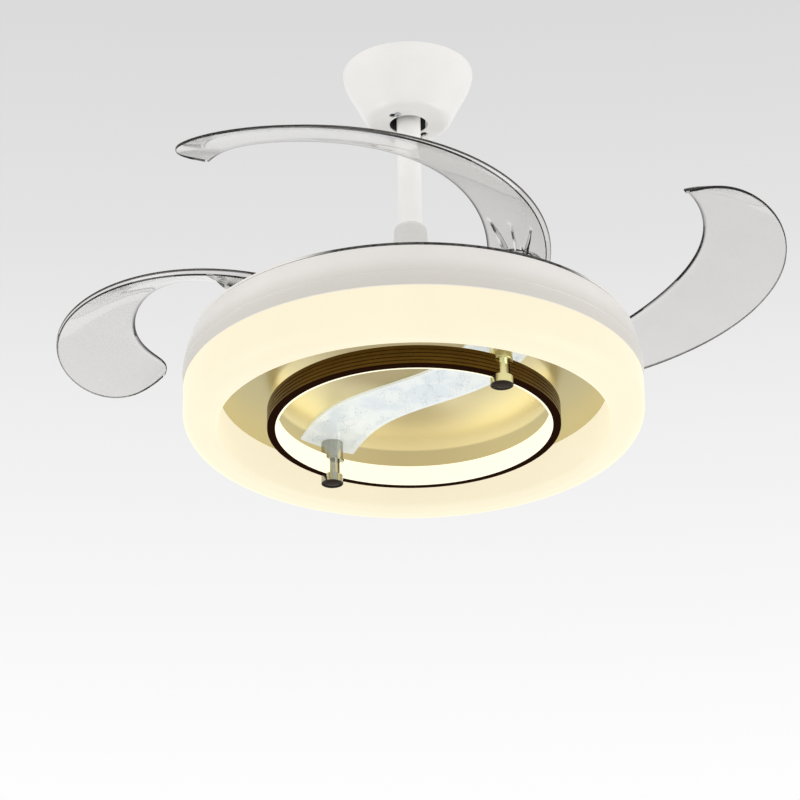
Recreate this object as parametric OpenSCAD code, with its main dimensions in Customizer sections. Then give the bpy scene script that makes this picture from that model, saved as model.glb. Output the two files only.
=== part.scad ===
// Ceiling fan with four folding clear blades and a ring lamp.
// The ceiling is the plane z = 0 and everything hangs below it. The blades
// are drawn open, as they stand when the fan runs; each one folds about its
// own spindle until it lies over the tray, and a toothed ring keeps the four
// blades in step. Heights named *_h are measured up from the hoop's lower edge.

/* [Overall] */
// Distance from the ceiling down to the lower edge of the light hoop
drop = 445; // [370:5:600]
// Outer diameter of the lamp body
body_d = 500; // [450:5:620]
// Running fit between a shaft and its bore, on the radius
running_fit = 0.05; // [0.02:0.01:0.1]

/* [Canopy and hanger] */
// Diameter of the canopy where it meets the ceiling
canopy_d = 148; // [140:1:180]
// Height of the canopy
canopy_h = 65; // [62:1:80]
// Diameter of the hole that the downrod passes through
canopy_hole_d = 43; // [40:1:46]
// Wall of the canopy
canopy_wall = 1.5; // [1:0.1:3]
// Distance of the ball's centre below the ceiling
ball_drop = 36; // [34:1:40]
// Diameter of the hanger ball
ball_d = 38; // [36:1:42]
// Width of the hanger bracket
bracket_w = 36; // [32:1:44]
// Thickness of the hanger bracket
bracket_t = 2.5; // [2:0.1:3.5]
// Distance between the two ceiling slots
slot_spacing = 90; // [80:1:100]
// Width of a ceiling slot
slot_w = 6.5; // [5:0.5:8]
// Length of a ceiling slot
slot_l = 16; // [12:1:20]
// Outer diameter of the downrod
rod_d = 27; // [26:0.5:28]
// Wall of the downrod
rod_wall = 2; // [1.5:0.1:3]

/* [Lamp] */
// Height of the joint between ring diffuser and drum
joint_h = 45; // [42:1:54]
// How far the ring diffuser reaches below the hoop
diffuser_dip = 5; // [2:0.5:8]
// Width of the ring diffuser between its inner and outer walls
ring_w = 38; // [32:1:46]
// Wall of the ring diffuser
diffuser_wall = 2; // [1.5:0.1:3]
// Height of the white drum
drum_h = 48.4; // [46:0.2:60]
// Wall of the white drum
drum_wall = 1.6; // [1.2:0.1:2.5]
// Thickness of the lamp chassis
pan_t = 1.6; // [1.2:0.1:2.5]
// Outer diameter of the light hoop
hoop_d = 318; // [265:1:330]
// Height of the light hoop
hoop_h = 22; // [18:1:26]
// Width of the light hoop's lower rim
hoop_rim_w = 10.7; // [9:0.1:14]
// Thickness of the gold plate
gold_t = 1.5; // [1:0.1:2.5]
// Thickness of the S-shaped crystal band
band_t = 3; // [2:0.5:5]
// Width of the S-shaped crystal band
band_w = 72; // [60:1:80]
// Sideways swing of the crystal band's centre line
band_swing = 17; // [10:1:22]
// Diameter of the standoff collars and caps
post_d = 24.5; // [18:0.5:26]
// Diameter of the standoff shafts
post_shaft_d = 13.5; // [12:0.5:16]
// Height of the standoff caps
post_cap_h = 9; // [7:1:11]
// Direction of the first standoff, seen from above
post_angle = -53; // [-90:1:0]
// How far a standoff collar reaches down past the hoop's upper edge
collar_dip = 4.4; // [0:0.1:8]

/* [Blades] */
// Number of blades
blades = 4; // [4:1:4]
// Direction of the first blade's spindle, seen from above
first_spindle_angle = -54; // [-90:1:0]
// Angle that a blade turns through between open and folded
fold_angle = 62.5; // [55:0.5:62.5]
// Distance from the tray's edge in to the spindle circle
spindle_inset = 57.7; // [55:0.1:62]
// Angle about the fan's axis that a folded blade covers
blade_span = 148; // [130:1:152]
// Thickness of a blade
blade_t = 2.6; // [2:0.1:4]
// Radius of the round hub at a blade's root
hub_r = 30; // [26:0.5:32]
// Height of the round hub
hub_h = 24; // [20:1:26]
// Diameter of a spindle
spindle_d = 12; // [10:0.5:14]
// Thickness of the clear tray
tray_t = 2; // [1.5:0.1:3]
// Thickness of the blade carrier
carrier_t = 2.5; // [2:0.1:4]
// Teeth of a whole blade gear
gear_teeth = 20; // [20:1:20]
// Teeth of a whole synchronising ring
ring_teeth = 80; // [80:1:80]
// Face width of the gears
gear_w = 6; // [5:0.5:7]

/* [Motor] */
// Outer diameter of the motor
motor_d = 170; // [150:2:180]
// Outer diameter of the hollow motor shaft
shaft_d = 20; // [18:0.5:22]
// Bore of the hollow motor shaft
shaft_bore = 14; // [10:0.5:15]
// Outer diameter of a motor bearing
bearing_d = 42; // [38:1:46]
// Width of a motor bearing
bearing_w = 8; // [6:0.5:10]
// Number of stator teeth, one coil on each
stator_poles = 12; // [12:1:12]

/* [Hidden] */

$fn = 96;
fine = 180;             // facets of the large visible circles
small = 32;             // facets of screws and other small round parts
over = 1;               // overshoot of a cut past the face it opens
seat = 0.3;             // gap between faces that slide over each other

white = [0.93, 0.93, 0.92];
gold = [0.80, 0.70, 0.50];
bronze = [0.25, 0.16, 0.08];
steel = [0.68, 0.69, 0.71];
clear = [0.84, 0.83, 0.81, 0.5];
opal = [1.0, 0.95, 0.82];
brass = [0.75, 0.60, 0.30];
copper = [0.72, 0.40, 0.20];
black = [0.12, 0.12, 0.12];

function level(h) = h - drop;
function polar(r, a) = [r * cos(a), r * sin(a)];
function mix(a, b, u) = a + (b - a) * u;
function arc(c, r, a0, a1, n) = [for (i = [0 : n]) c + polar(r, mix(a0, a1, i / n))];
function wrap(i, n) = (i + n) % n;

// Bezier curve through control values c, for t from 0 to 1
function choose(n, k) = k == 0 ? 1 : choose(n - 1, k - 1) * n / k;
function bezier(c, t) = let (n = len(c) - 1)
    [for (i = [0 : n]) choose(n, i) * pow(t, i) * pow(1 - t, n - i)] * c;

module tube(r_out, r_in, h) {
    difference() {
        cylinder(r = r_out, h = h);
        translate([0, 0, -over]) cylinder(r = r_in, h = h + 2 * over);
    }
}

// A pan-head machine screw that points down from its seat at z = 0
module screw(d, length, head_d, head_h) {
    translate([0, 0, -length]) cylinder(d = d, h = length + 0.01, $fn = small);
    difference() {
        cylinder(d = head_d, h = head_h, $fn = small);
        for (a = [0, 90])
            rotate([0, 0, a]) translate([-head_d / 4, -0.4, head_h - 1])
                cube([head_d / 2, 0.8, 1 + over]);
    }
}

// A hexagon nut or bolt head across flats af
module hexagon(af, h) cylinder(d = af / cos(30), h = h, $fn = 6);

// ---------------------------------------------------------------- levels
body_r = body_d / 2;
pan_z = level(joint_h);                       // underside of the chassis
pan_top = pan_z + pan_t;
drum_top = pan_top + drum_h;
tray_gap = 1.2;                               // gap between drum and tray
tray_z = drum_top + tray_gap;                 // underside of the tray
tray_top = tray_z + tray_t;
carrier_z = tray_z - carrier_t;               // underside of the carrier

// ---------------------------------------------------------------- hanger
ball_z = -ball_drop;
ball_half_h = 13;
pin_d = 6;                                    // cross pin through ball and rod
cup_wall = 5;
cup_r = ball_d / 2 + cup_wall;
cup_mouth_r = rod_d / 2 + 2.7;                // where the rod leaves the cup
plate_z = -canopy_h + canopy_wall + seat;     // underside of the bracket's foot
strap_inset = 28;                             // inner face of a strap
canopy_screw_r = 27.5;
canopy_screw_angle = -116;
canopy_screw_d = 4;
foot_half = 20;                               // half width of the foot plate
tab_w = 4;                                    // key that stops the ball turning

module hanger_bracket() color(black) {
    arm_end = slot_spacing / 2 + slot_l / 2 + 7;
    difference() {
        union() {
            translate([-bracket_w / 2, -arm_end, -bracket_t])
                cube([bracket_w, 2 * arm_end, bracket_t]);
            for (side = [-1, 1]) {
                strap_y = side > 0 ? strap_inset : -strap_inset - bracket_t;
                translate([-bracket_w / 2 + 3, strap_y, plate_z])
                    cube([bracket_w - 6, bracket_t, -plate_z - 0.01]);
                translate([0, side * (strap_inset + bracket_t + 4), plate_z + bracket_t / 2])
                    cube([14, 9, bracket_t], center = true);
            }
            translate([-foot_half, -strap_inset - bracket_t, plate_z])
                cube([2 * foot_half, 2 * (strap_inset + bracket_t), bracket_t]);
            translate([0, 0, plate_z]) cylinder(r = cup_r, h = ball_z - 3 - plate_z);
            translate([-cup_r + 1, -tab_w / 2, ball_z - 8]) cube([cup_wall + 1, tab_w, 5]);
        }
        difference() {
            union() {
                translate([0, 0, ball_z]) sphere(r = ball_d / 2 + 2 * running_fit);
                translate([0, 0, plate_z - over]) cylinder(r = cup_mouth_r, h = 40);
                translate([0, 0, plate_z - over])
                    cylinder(r1 = cup_r - 2.5, r2 = cup_mouth_r, h = 15);
            }
            translate([-cup_r + 1, -tab_w / 2, ball_z - 8]) cube([cup_wall + 1, tab_w, 5]);
        }
        // way in for the rod, from the side
        translate([0, -rod_d / 2 - 1, plate_z - over])
            cube([cup_r + over, rod_d + 2, ball_z - plate_z + 2 * over]);
        cylinder(r = 17, h = 10, center = true);
        for (side = [-1, 1]) translate([0, side * slot_spacing / 2, -bracket_t - over])
            linear_extrude(bracket_t + 2 * over) ceiling_slot();
        for (turn = [0, 180])
            rotate([0, 0, canopy_screw_angle + turn]) translate([canopy_screw_r, 0, plate_z - over])
                cylinder(d = canopy_screw_d - 0.2, h = bracket_t + 2 * over, $fn = small);
    }
}

module ceiling_slot() {
    half = (slot_l - slot_w) / 2;
    for (side = [-1, 1]) translate([0, side * half]) circle(d = slot_w, $fn = small);
    square([slot_w, 2 * half], center = true);
}

// Half outline of the canopy: a bowl flank with a round at its foot
canopy_bowl = [1, 1.006, 0.83, 0.764, 0.66];  // shares of the rim's radius
canopy_foot_r = 12;
canopy_lean = 27;                             // lean of the flank where the round begins
function canopy_flank(inset) = let (r = canopy_d / 2,
        foot_z = canopy_foot_r * (1 - sin(canopy_lean)) - canopy_h,
        centre = [r * canopy_bowl[4] - canopy_foot_r * cos(canopy_lean),
            foot_z + canopy_foot_r * sin(canopy_lean)])
    concat([for (i = [0 : 12]) let (u = i / 12) [r * bezier(canopy_bowl, u) - inset, foot_z * u]],
        arc(centre, canopy_foot_r - inset, -canopy_lean, -90, 6));

module canopy() color(white) {
    difference() {
        rotate_extrude($fn = fine) {
            difference() {
                polygon(concat([[0, 0]], canopy_flank(0), [[0, -canopy_h]]));
                polygon(concat([[-over, over], [canopy_d / 2 - canopy_wall, over]],
                    canopy_flank(canopy_wall), [[-over, -canopy_h + canopy_wall]]));
            }
        }
        translate([0, 0, -canopy_h - over])
            cylinder(d = canopy_hole_d, h = canopy_wall + 3 * over);
        for (turn = [0, 180]) rotate([0, 0, canopy_screw_angle + turn]) canopy_keyhole();
    }
}

// Keyhole: a round entry for the screw's head and an arc slot for its shank
module canopy_keyhole() {
    slot_angle = 14;
    entry_d = 8;
    translate([0, 0, -canopy_h - over]) {
        for (a = [0, -slot_angle]) rotate([0, 0, a]) translate([canopy_screw_r, 0, 0])
            cylinder(d = a == 0 ? canopy_screw_d + 0.6 : entry_d, h = canopy_wall + 2 * over,
                $fn = small);
        rotate([0, 0, -slot_angle])
            rotate_extrude(angle = slot_angle)
                translate([canopy_screw_r - canopy_screw_d / 2 - 0.15, 0])
                    square([canopy_screw_d + 0.3, canopy_wall + 2 * over]);
    }
}

module canopy_screws() color(steel) {
    for (turn = [0, 180])
        rotate([0, 0, canopy_screw_angle + turn]) translate([canopy_screw_r, 0, -canopy_h])
            rotate([180, 0, 0]) screw(canopy_screw_d - 0.3, 7, 7, 2.2);
}

module hanger_ball() color(black) {
    translate([0, 0, ball_z]) difference() {
        intersection() {
            sphere(r = ball_d / 2);
            cylinder(r = ball_d, h = 2 * ball_half_h, center = true);
        }
        cylinder(r = rod_d / 2 + running_fit, h = 4 * ball_half_h, center = true);
        rotate([90, 0, 0]) cylinder(d = pin_d + 0.1, h = 2 * ball_d, center = true);
        translate([-ball_d / 2 - over, -tab_w / 2 - 1.5, -ball_half_h - over])
            cube([4.5 + over, tab_w + 3, ball_half_h + 4]);
    }
}

module hanger_pin() color(steel) {
    length = ball_d - 5;
    translate([0, 0, ball_z]) rotate([90, 0, 0]) difference() {
        cylinder(d = pin_d, h = length, center = true, $fn = small);
        for (side = [-1, 1]) translate([0, 0, side * length / 2]) rotate_extrude($fn = small)
            translate([pin_d / 2 + 0.6, 0]) circle(r = 0.9);
    }
}

// ---------------------------------------------------------------- downrod and coupling
rod_foot = level(200);                        // lower end of the downrod
rod_head = ball_z + ball_half_h + 4;
bolt_z = rod_foot + 9;
bolt_d = 5;
coupling_r = rod_d / 2 + 5;
socket_h = 24;
shaft_head = rod_foot - 2;                    // upper end of the motor shaft
coupling_foot = shaft_head - 22;
set_screw_z = coupling_foot + 8;

module downrod() color(white) {
    difference() {
        translate([0, 0, rod_foot]) cylinder(d = rod_d, h = rod_head - rod_foot);
        translate([0, 0, rod_foot - over])
            cylinder(r = rod_d / 2 - rod_wall, h = rod_head - rod_foot + 2 * over);
        translate([0, 0, ball_z]) rotate([90, 0, 0])
            cylinder(d = pin_d + 0.1, h = 2 * rod_d, center = true, $fn = small);
        translate([0, 0, bolt_z]) rotate([90, 0, 0])
            cylinder(d = bolt_d + 0.1, h = 2 * rod_d, center = true, $fn = small);
    }
}

module rod_coupling() color(steel) {
    difference() {
        union() {
            translate([0, 0, coupling_foot]) cylinder(r = 16, h = 22);
            translate([0, 0, rod_foot - 2]) cylinder(r = coupling_r, h = socket_h);
            translate([0, 0, rod_foot - 5]) cylinder(r1 = 16, r2 = coupling_r, h = 3.01);
        }
        translate([0, 0, rod_foot]) cylinder(r = rod_d / 2 + running_fit, h = socket_h + over);
        translate([0, 0, coupling_foot - over])
            cylinder(r = shaft_d / 2 + running_fit, h = shaft_head - coupling_foot + over);
        translate([0, 0, coupling_foot]) cylinder(d = shaft_bore, h = 60);
        translate([0, 0, bolt_z]) rotate([90, 0, 0])
            cylinder(d = bolt_d + 0.1, h = 3 * rod_d, center = true, $fn = small);
        for (a = [0, 120]) rotate([0, 0, a]) translate([0, 0, set_screw_z]) rotate([0, 90, 0])
            cylinder(d = 5, h = 3 * rod_d, $fn = small);
    }
}

module coupling_bolt() color(steel) {
    translate([0, 0, bolt_z]) rotate([90, 0, 0]) {
        translate([0, 0, -coupling_r - 2.5])
            cylinder(d = bolt_d, h = 2 * coupling_r + 3, $fn = small);
        translate([0, 0, coupling_r]) hexagon(8, 2.5);
        translate([0, 0, -coupling_r - 2.2]) difference() {
            hexagon(8, 2.2);
            translate([0, 0, -over]) cylinder(d = bolt_d, h = 4, $fn = small);
        }
    }
}

module coupling_set_screws() color(steel) {
    for (a = [0, 120]) rotate([0, 0, a])
        translate([shaft_d / 2 + 0.1, 0, set_screw_z]) rotate([0, 90, 0]) difference() {
            cylinder(d = 4.9, h = 5.5, $fn = small);
            translate([0, 0, 3.5]) cylinder(d = 2.9, h = 3, $fn = 6);
        }
}

// Bell-shaped cover over the coupling; its flank is a Bezier curve of
// distances from the rod's surface, from the foot up to the domed head
bell = [30.5, 26.5, 24.5, 22.5, 4, 5];
cover_dome_r = 8;
cover_z = tray_top + 4;
cover_top = rod_foot + 49;
function cover_flank(inset, n = 14) = [for (i = [0 : n]) let (t = i / n)
    [rod_d / 2 + bezier(bell, t) - inset,
     mix(cover_z, cover_top - cover_dome_r, t)]];

module coupling_cover() color(white) {
    cover_wall = 1.5;
    foot_r = rod_d / 2 + bell[0];
    head_r = rod_d / 2 + bell[5];
    dome_end = 62;                            // the dome stops short of the rod
    rotate_extrude($fn = fine) difference() {
        polygon(concat([[0, cover_z]], cover_flank(0), arc([head_r, cover_top] - cover_dome_r * [1, 1],
            cover_dome_r, 12, dome_end, 4), [[0, cover_top - cover_dome_r * (1 - sin(dome_end))]]));
        polygon(concat([[-over, cover_z - over], [foot_r - cover_wall, cover_z - over]],
            cover_flank(cover_wall), [[rod_d / 2 + 1.5, cover_top - 6], [-over, cover_top - 6]]));
        square([rod_d / 2 + 0.2, drop], center = false);
        translate([0, -drop]) square([rod_d / 2 + 0.2, drop]);
    }
}

// ---------------------------------------------------------------- motor
motor_r = motor_d / 2;
motor_foot = pan_top + 7.4;
shaft_flange_r = 30;
shaft_flange_t = 4;
shell_t = 3;
motor_mid = (motor_foot + carrier_z) / 2;
upper_bearing_z = carrier_z - 2 - bearing_w;
lower_bearing_z = motor_foot + 1.5;
magnet_t = 3;
air_gap = 0.8;
stator_r = motor_r - shell_t - magnet_t - air_gap - running_fit;
hub_gap = 3.1;                                // between a bearing and the stator
stator_h = upper_bearing_z - lower_bearing_z - bearing_w - 2 * hub_gap;
stator_z = motor_mid - stator_h / 2;
coil_h = stator_h + 8;

module at_rotor_screws() for (a = [30 : 60 : 330])
    rotate([0, 0, a]) translate([motor_r + 2.7, 0, 0]) children();

module motor_shaft() color(steel) {
    difference() {
        union() {
            translate([0, 0, pan_top]) cylinder(d = shaft_d, h = shaft_head - pan_top);
            translate([0, 0, pan_top]) cylinder(r = shaft_flange_r, h = shaft_flange_t);
            translate([0, 0, pan_top]) cylinder(r = shaft_d / 2 + 3, h = lower_bearing_z - pan_top);
        }
        translate([0, 0, pan_top - over]) cylinder(d = shaft_bore, h = drop);
        for (a = [45 : 90 : 315]) rotate([0, 0, a]) translate([22, 0, pan_top - over])
            cylinder(d = 4.3, h = shaft_flange_t + 2 * over, $fn = small);
    }
}

// Snap ring that keeps the upper bearing down on the shaft
module shaft_collar() color(steel) {
    translate([0, 0, upper_bearing_z + bearing_w + 0.1]) difference() {
        tube(shaft_d / 2 + 3, shaft_d / 2 + running_fit, 1.2);
        translate([0, -1.5, -over]) cube([shaft_d, 3, 4]);
    }
}

module shaft_flange_screws() color(steel) {
    for (a = [45 : 90 : 315]) rotate([0, 0, a])
        translate([22, 0, pan_top + shaft_flange_t]) screw(4, shaft_flange_t + pan_t, 7, 1.8);
}

tooth_w = 9;
hub_ring_r = 40;                              // back iron of the stator

module stator_core() color([0.45, 0.45, 0.47]) {
    translate([0, 0, stator_z]) linear_extrude(stator_h) difference() {
        union() {
            circle(r = hub_ring_r);
            for (i = [0 : stator_poles - 1]) rotate([0, 0, i * 360 / stator_poles]) {
                translate([hub_ring_r - 2, -tooth_w / 2])
                    square([stator_r - hub_ring_r, tooth_w]);
                intersection() {
                    difference() {
                        circle(r = stator_r);
                        circle(r = stator_r - 4);
                    }
                    translate([0, -16]) square([stator_r + over, 32]);
                }
            }
        }
        circle(r = shaft_d / 2 + running_fit);
        for (a = [30 : 60 : 330]) rotate([0, 0, a]) translate([25, 0]) circle(r = 7);
    }
}

module stator_coils() color(copper) {
    inner = hub_ring_r + 2;
    outer = stator_r - 5;
    for (i = [0 : stator_poles - 1]) rotate([0, 0, i * 360 / stator_poles])
        translate([inner, 0, motor_mid]) difference() {
            linear_extrude(coil_h, center = true) polygon([[0, -8.5], [outer - inner, -12],
                [outer - inner, 12], [0, 8.5]]);
            translate([-over, -tooth_w / 2 - 0.1, -stator_h / 2 - 0.1])
                cube([outer, tooth_w + 0.2, stator_h + 0.2]);
        }
}

// The two halves of the motor's case meet at a bolted flange
cover_flange_w = 5.5;
cover_flange_t = 3;
cover_hole_d = 3.2;

module rotor_cover_lower() color([0.75, 0.75, 0.76]) translate([0, 0, motor_foot]) {
    half_h = motor_mid - motor_foot;
    difference() {
        union() {
            cylinder(r = motor_r, h = half_h);
            translate([0, 0, half_h - cover_flange_t])
                cylinder(r = motor_r + cover_flange_w, h = cover_flange_t);
        }
        difference() {
            translate([0, 0, shell_t]) cylinder(r = motor_r - shell_t, h = half_h);
            cylinder(r = bearing_d / 2 + 4, h = bearing_w + 1.5);
        }
        translate([0, 0, -over]) cylinder(r = shaft_d / 2 + 4, h = half_h);
        translate([0, 0, 1.5]) cylinder(r = bearing_d / 2 + running_fit, h = half_h);
        at_rotor_screws() cylinder(d = cover_hole_d, h = half_h + over, $fn = small);
        // cooling holes
        for (a = [0 : 30 : 330]) rotate([0, 0, a]) translate([0.62 * motor_r, 0, -over])
            cylinder(r = 7, h = shell_t + 2 * over);
    }
}

module rotor_cover_upper() color([0.75, 0.75, 0.76]) {
    top = carrier_z;
    difference() {
        union() {
            translate([0, 0, motor_mid]) cylinder(r = motor_r, h = top - motor_mid);
            translate([0, 0, motor_mid])
                cylinder(r = motor_r + cover_flange_w, h = cover_flange_t);
        }
        difference() {
            translate([0, 0, motor_mid - over])
                cylinder(r = motor_r - shell_t, h = top - shell_t - motor_mid + over);
            translate([0, 0, upper_bearing_z]) cylinder(r = bearing_d / 2 + 4, h = drop);
        }
        translate([0, 0, motor_mid]) cylinder(r = shaft_d / 2 + 4, h = drop);
        translate([0, 0, upper_bearing_z - over])
            cylinder(r = bearing_d / 2 + running_fit, h = bearing_w + over);
        at_rotor_screws() translate([0, 0, motor_mid - over])
            cylinder(d = cover_hole_d, h = cover_flange_t + 2 * over, $fn = small);
        for (a = [0 : 60 : 300]) rotate([0, 0, a]) translate([50, 0, top - shell_t - over])
            cylinder(d = 4.2, h = shell_t + 2 * over, $fn = small);
    }
}

module motor_magnets() color(black) {
    magnets = 16;
    ring_in = motor_r - shell_t - magnet_t;
    for (i = [0 : magnets - 1]) rotate([0, 0, i * 360 / magnets])
        rotate_extrude(angle = 360 / magnets - 2) translate([ring_in, motor_mid - 9])
            square([magnet_t - running_fit, 18]);
}

// Two ball bearings: inner race, balls and outer race
module motor_bearings() color(steel) {
    for (z = [lower_bearing_z, upper_bearing_z]) translate([0, 0, z]) ball_bearing();
}

module ball_bearing() {
    bore_r = shaft_d / 2 + running_fit;
    outer_r = bearing_d / 2;
    pitch_r = (bore_r + outer_r) / 2;
    ball_r = 3;
    race = 2.4;
    rotate_extrude() difference() {
        translate([bore_r, 0]) square([pitch_r - race / 2 - bore_r, bearing_w]);
        translate([pitch_r, bearing_w / 2]) circle(r = ball_r + 0.05, $fn = 48);
    }
    rotate_extrude() difference() {
        translate([pitch_r + race / 2, 0]) square([outer_r - pitch_r - race / 2, bearing_w]);
        translate([pitch_r, bearing_w / 2]) circle(r = ball_r + 0.05, $fn = 48);
    }
    for (a = [0 : 40 : 320]) rotate([0, 0, a]) translate([pitch_r, 0, bearing_w / 2])
        sphere(r = ball_r, $fn = 24);
}

module rotor_screws() color(steel) {
    at_rotor_screws() translate([0, 0, motor_mid - cover_flange_t])
        rotate([180, 0, 0]) screw(3, 2 * cover_flange_t, 4.6, 1.6);
}

// ---------------------------------------------------------------- lamp
flange_w = 14;                                // inward foot flange of the drum
drum_head_r = body_r - 7.3;                   // drum and tray at their upper edge
board_in = body_r - ring_w + diffuser_wall + 1;
board_out = body_r - diffuser_wall - 1;
board_t = 1.6;
post_r = (hoop_d - hoop_rim_w) / 2;
stud_d = 6;
chassis_screw_r = body_r - flange_w + 5;

module at_posts() for (turn = [0, 180]) rotate([0, 0, post_angle + turn])
    translate([post_r, 0, 0]) children();

module lamp_chassis() color(white) {
    translate([0, 0, pan_z]) difference() {
        cylinder(r = body_r - 1, h = pan_t, $fn = fine);
        translate([0, 0, -over]) cylinder(d = shaft_bore, h = pan_t + 2 * over);
        for (a = [45 : 90 : 315]) rotate([0, 0, a]) translate([22, 0, -over])
            cylinder(d = 4.1, h = pan_t + 2 * over, $fn = small);
        at_posts() translate([0, 0, -over])
            cylinder(d = stud_d + 0.2, h = pan_t + 2 * over, $fn = small);
        for (a = [0 : 60 : 300]) rotate([0, 0, a]) translate([chassis_screw_r, 0, -over])
            cylinder(d = 3.3, h = pan_t + 2 * over, $fn = small);
        for (a = [20 : 40 : 340]) rotate([0, 0, a]) translate([motor_r + 6, 0, -over])
            cylinder(r = 4, h = pan_t + 2 * over, $fn = small);
    }
}

// Outline of the drum wall: upright band, small step, then a lean inwards
drum_lean = 1.2;                              // how far the lower band leans in
function drum_flank(inset) = let (band_h = 13.5, step = 1.2)
    [[body_r - drum_lean - inset, pan_top],
     [body_r + step / 2 - inset, pan_top + band_h],
     [body_r + step - inset, pan_top + band_h + step / 2],
     for (i = [1 : 8]) let (u = i / 8)
        [mix(body_r + step, drum_head_r + 1, u * u * 0.6 + u * 0.4) - inset,
         mix(pan_top + band_h + step / 2, drum_top - 1, u)],
     [drum_head_r - inset, drum_top]];

module drum() color(white) {
    difference() {
        union() {
            rotate_extrude($fn = fine) difference() {
                polygon(concat([[0, pan_top]], drum_flank(0), [[0, drum_top]]));
                polygon(concat([[-over, pan_top - over],
                    [body_r - drum_lean - drum_wall, pan_top - over]],
                    drum_flank(drum_wall), [[drum_head_r - drum_wall, drum_top + over],
                    [-over, drum_top + over]]));
            }
            translate([0, 0, pan_top])
                tube(body_r - drum_lean - drum_wall + 0.4, body_r - flange_w, drum_wall);
        }
        for (a = [0 : 60 : 300]) rotate([0, 0, a]) translate([chassis_screw_r, 0, pan_top - over])
            cylinder(d = 3.3, h = drum_wall + 2 * over, $fn = small);
    }
}

module drum_screws() color(steel) {
    for (a = [0 : 60 : 300]) rotate([0, 0, a])
        translate([chassis_screw_r, 0, pan_top + drum_wall])
            screw(3, drum_wall + pan_t, 6, 1.8);
}

module led_board() color([0.9, 0.92, 0.9]) {
    translate([0, 0, pan_z - board_t]) difference() {
        tube(board_out, board_in, board_t, $fn = fine);
        for (a = [0 : 60 : 300]) rotate([0, 0, a]) translate([chassis_screw_r, 0, -over])
            cylinder(d = 3.3, h = board_t + 2 * over, $fn = small);
    }
}

module led_chips() color(opal) {
    chips = 72;
    chip = 4;
    rows = [board_in + 6, board_out - 6];
    for (row = [0, 1], i = [0 : chips / 2 - 1])
        rotate([0, 0, (i + row / 2) * 720 / chips]) translate([rows[row], 0, pan_z - board_t - 0.8])
            translate([-chip / 2, -chip / 2, 0]) cube([chip, chip, 0.8]);
}

// Trough of opal plastic with wide outer and tight inner corners
function trough(inset) = let (ro = body_r, ri = body_r - ring_w, low = level(-diffuser_dip),
        r1 = 21, r2 = 9)
    concat([[ri + inset, pan_z]], arc([ri + r2, low + r2], r2 - inset, 180, 270, 6),
        arc([ro - r1, low + r1], r1 - inset, 270, 360, 12), [[ro - inset, pan_z]]);

module ring_diffuser() color(opal) {
    rotate_extrude($fn = fine) difference() {
        polygon(trough(0));
        polygon(concat([[body_r - ring_w + diffuser_wall, pan_z + over]], trough(diffuser_wall),
            [[body_r - diffuser_wall, pan_z + over]]));
    }
}

module gold_plate() color(gold) {
    translate([0, 0, pan_z - gold_t]) difference() {
        cylinder(r = body_r - ring_w - 0.4, h = gold_t, $fn = fine);
        at_posts() translate([0, 0, -over])
            cylinder(d = stud_d + 0.2, h = gold_t + 2 * over, $fn = small);
    }
}

// The band's centre line runs from one standoff to the other and swings
// sideways as a sine; its ends are arcs about the fan's axis
band_end_r = hoop_d / 2 + 9;
function band_point(v, side) =
    [(band_end_r - 6) * v, side * band_w / 2 + band_swing * sin(180 * v)];

module crystal_band() color([0.92, 0.96, 1.0, 0.6]) {
    steps = 24;
    translate([0, 0, pan_z - gold_t - band_t]) difference() {
        linear_extrude(band_t) intersection() {
            rotate([0, 0, post_angle]) polygon(concat(
                [for (i = [0 : steps]) band_point(mix(-1.15, 1.15, i / steps), -1)],
                [for (i = [0 : steps]) band_point(mix(1.15, -1.15, i / steps), 1)]));
            circle(r = band_end_r, $fn = fine);
        }
        at_posts() translate([0, 0, -over])
            cylinder(d = stud_d + 0.2, h = band_t + 2 * over, $fn = small);
    }
}

hoop_r = hoop_d / 2;
hoop_gap_angle = asin((post_shaft_d / 2 + 0.3) / post_r);
groove_pitch = 4.2;

// Channel section: grooved outer wall, top web and lower rim
module hoop_section() {
    wall = 3;
    difference() {
        translate([hoop_r - hoop_rim_w, 0]) square([hoop_rim_w, hoop_h]);
        translate([hoop_r - hoop_rim_w - over, 1.5])
            square([hoop_rim_w + over - wall, hoop_h - 3.5]);
        for (i = [0 : 3]) translate([hoop_r - 1, 4 + i * groove_pitch]) square([2, 1.2]);
    }
}

module hoop_half(turn) color(bronze) difference() {
    translate([0, 0, level(0)]) rotate([0, 0, post_angle + turn + hoop_gap_angle])
        rotate_extrude(angle = 180 - 2 * hoop_gap_angle, $fn = fine) hoop_section();
    collar_pockets();
}

// Room for the standoff collars in the hoop's upper edge
collar_z = level(hoop_h - collar_dip);
module collar_pockets() at_posts() translate([0, 0, collar_z - seat])
    cylinder(d = post_d + 2 * seat, h = hoop_h);

module hoop_left() hoop_half(180);
module hoop_right() hoop_half(0);

module hoop_light_strips() color(opal) difference() {
    translate([0, 0, level(0)]) for (turn = [0, 180])
        rotate([0, 0, post_angle + turn + hoop_gap_angle + 0.2])
            rotate_extrude(angle = 179.6 - 2 * hoop_gap_angle, $fn = fine)
                translate([hoop_r - hoop_rim_w, 1.6]) square([2, hoop_h - 3.7]);
    collar_pockets();
}

module standoff_posts() color(gold) at_posts() {
    collar_top = pan_z - gold_t - band_t;
    difference() {
        union() {
            translate([0, 0, level(0)]) cylinder(d = post_shaft_d, h = collar_z + 0.01 - level(0));
            translate([0, 0, collar_z]) cylinder(d = post_d, h = collar_top - collar_z);
            translate([0, 0, collar_z]) cylinder(d = stud_d, h = pan_top + 5 - collar_z,
                $fn = small);
        }
        translate([0, 0, collar_z + 1.5]) rotate_extrude()
            translate([post_d / 2 - 0.5, 0]) square([1, 0.8]);
        translate([0, 0, level(-over)]) cylinder(d = 5, h = 12, $fn = small);
    }
}

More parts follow.
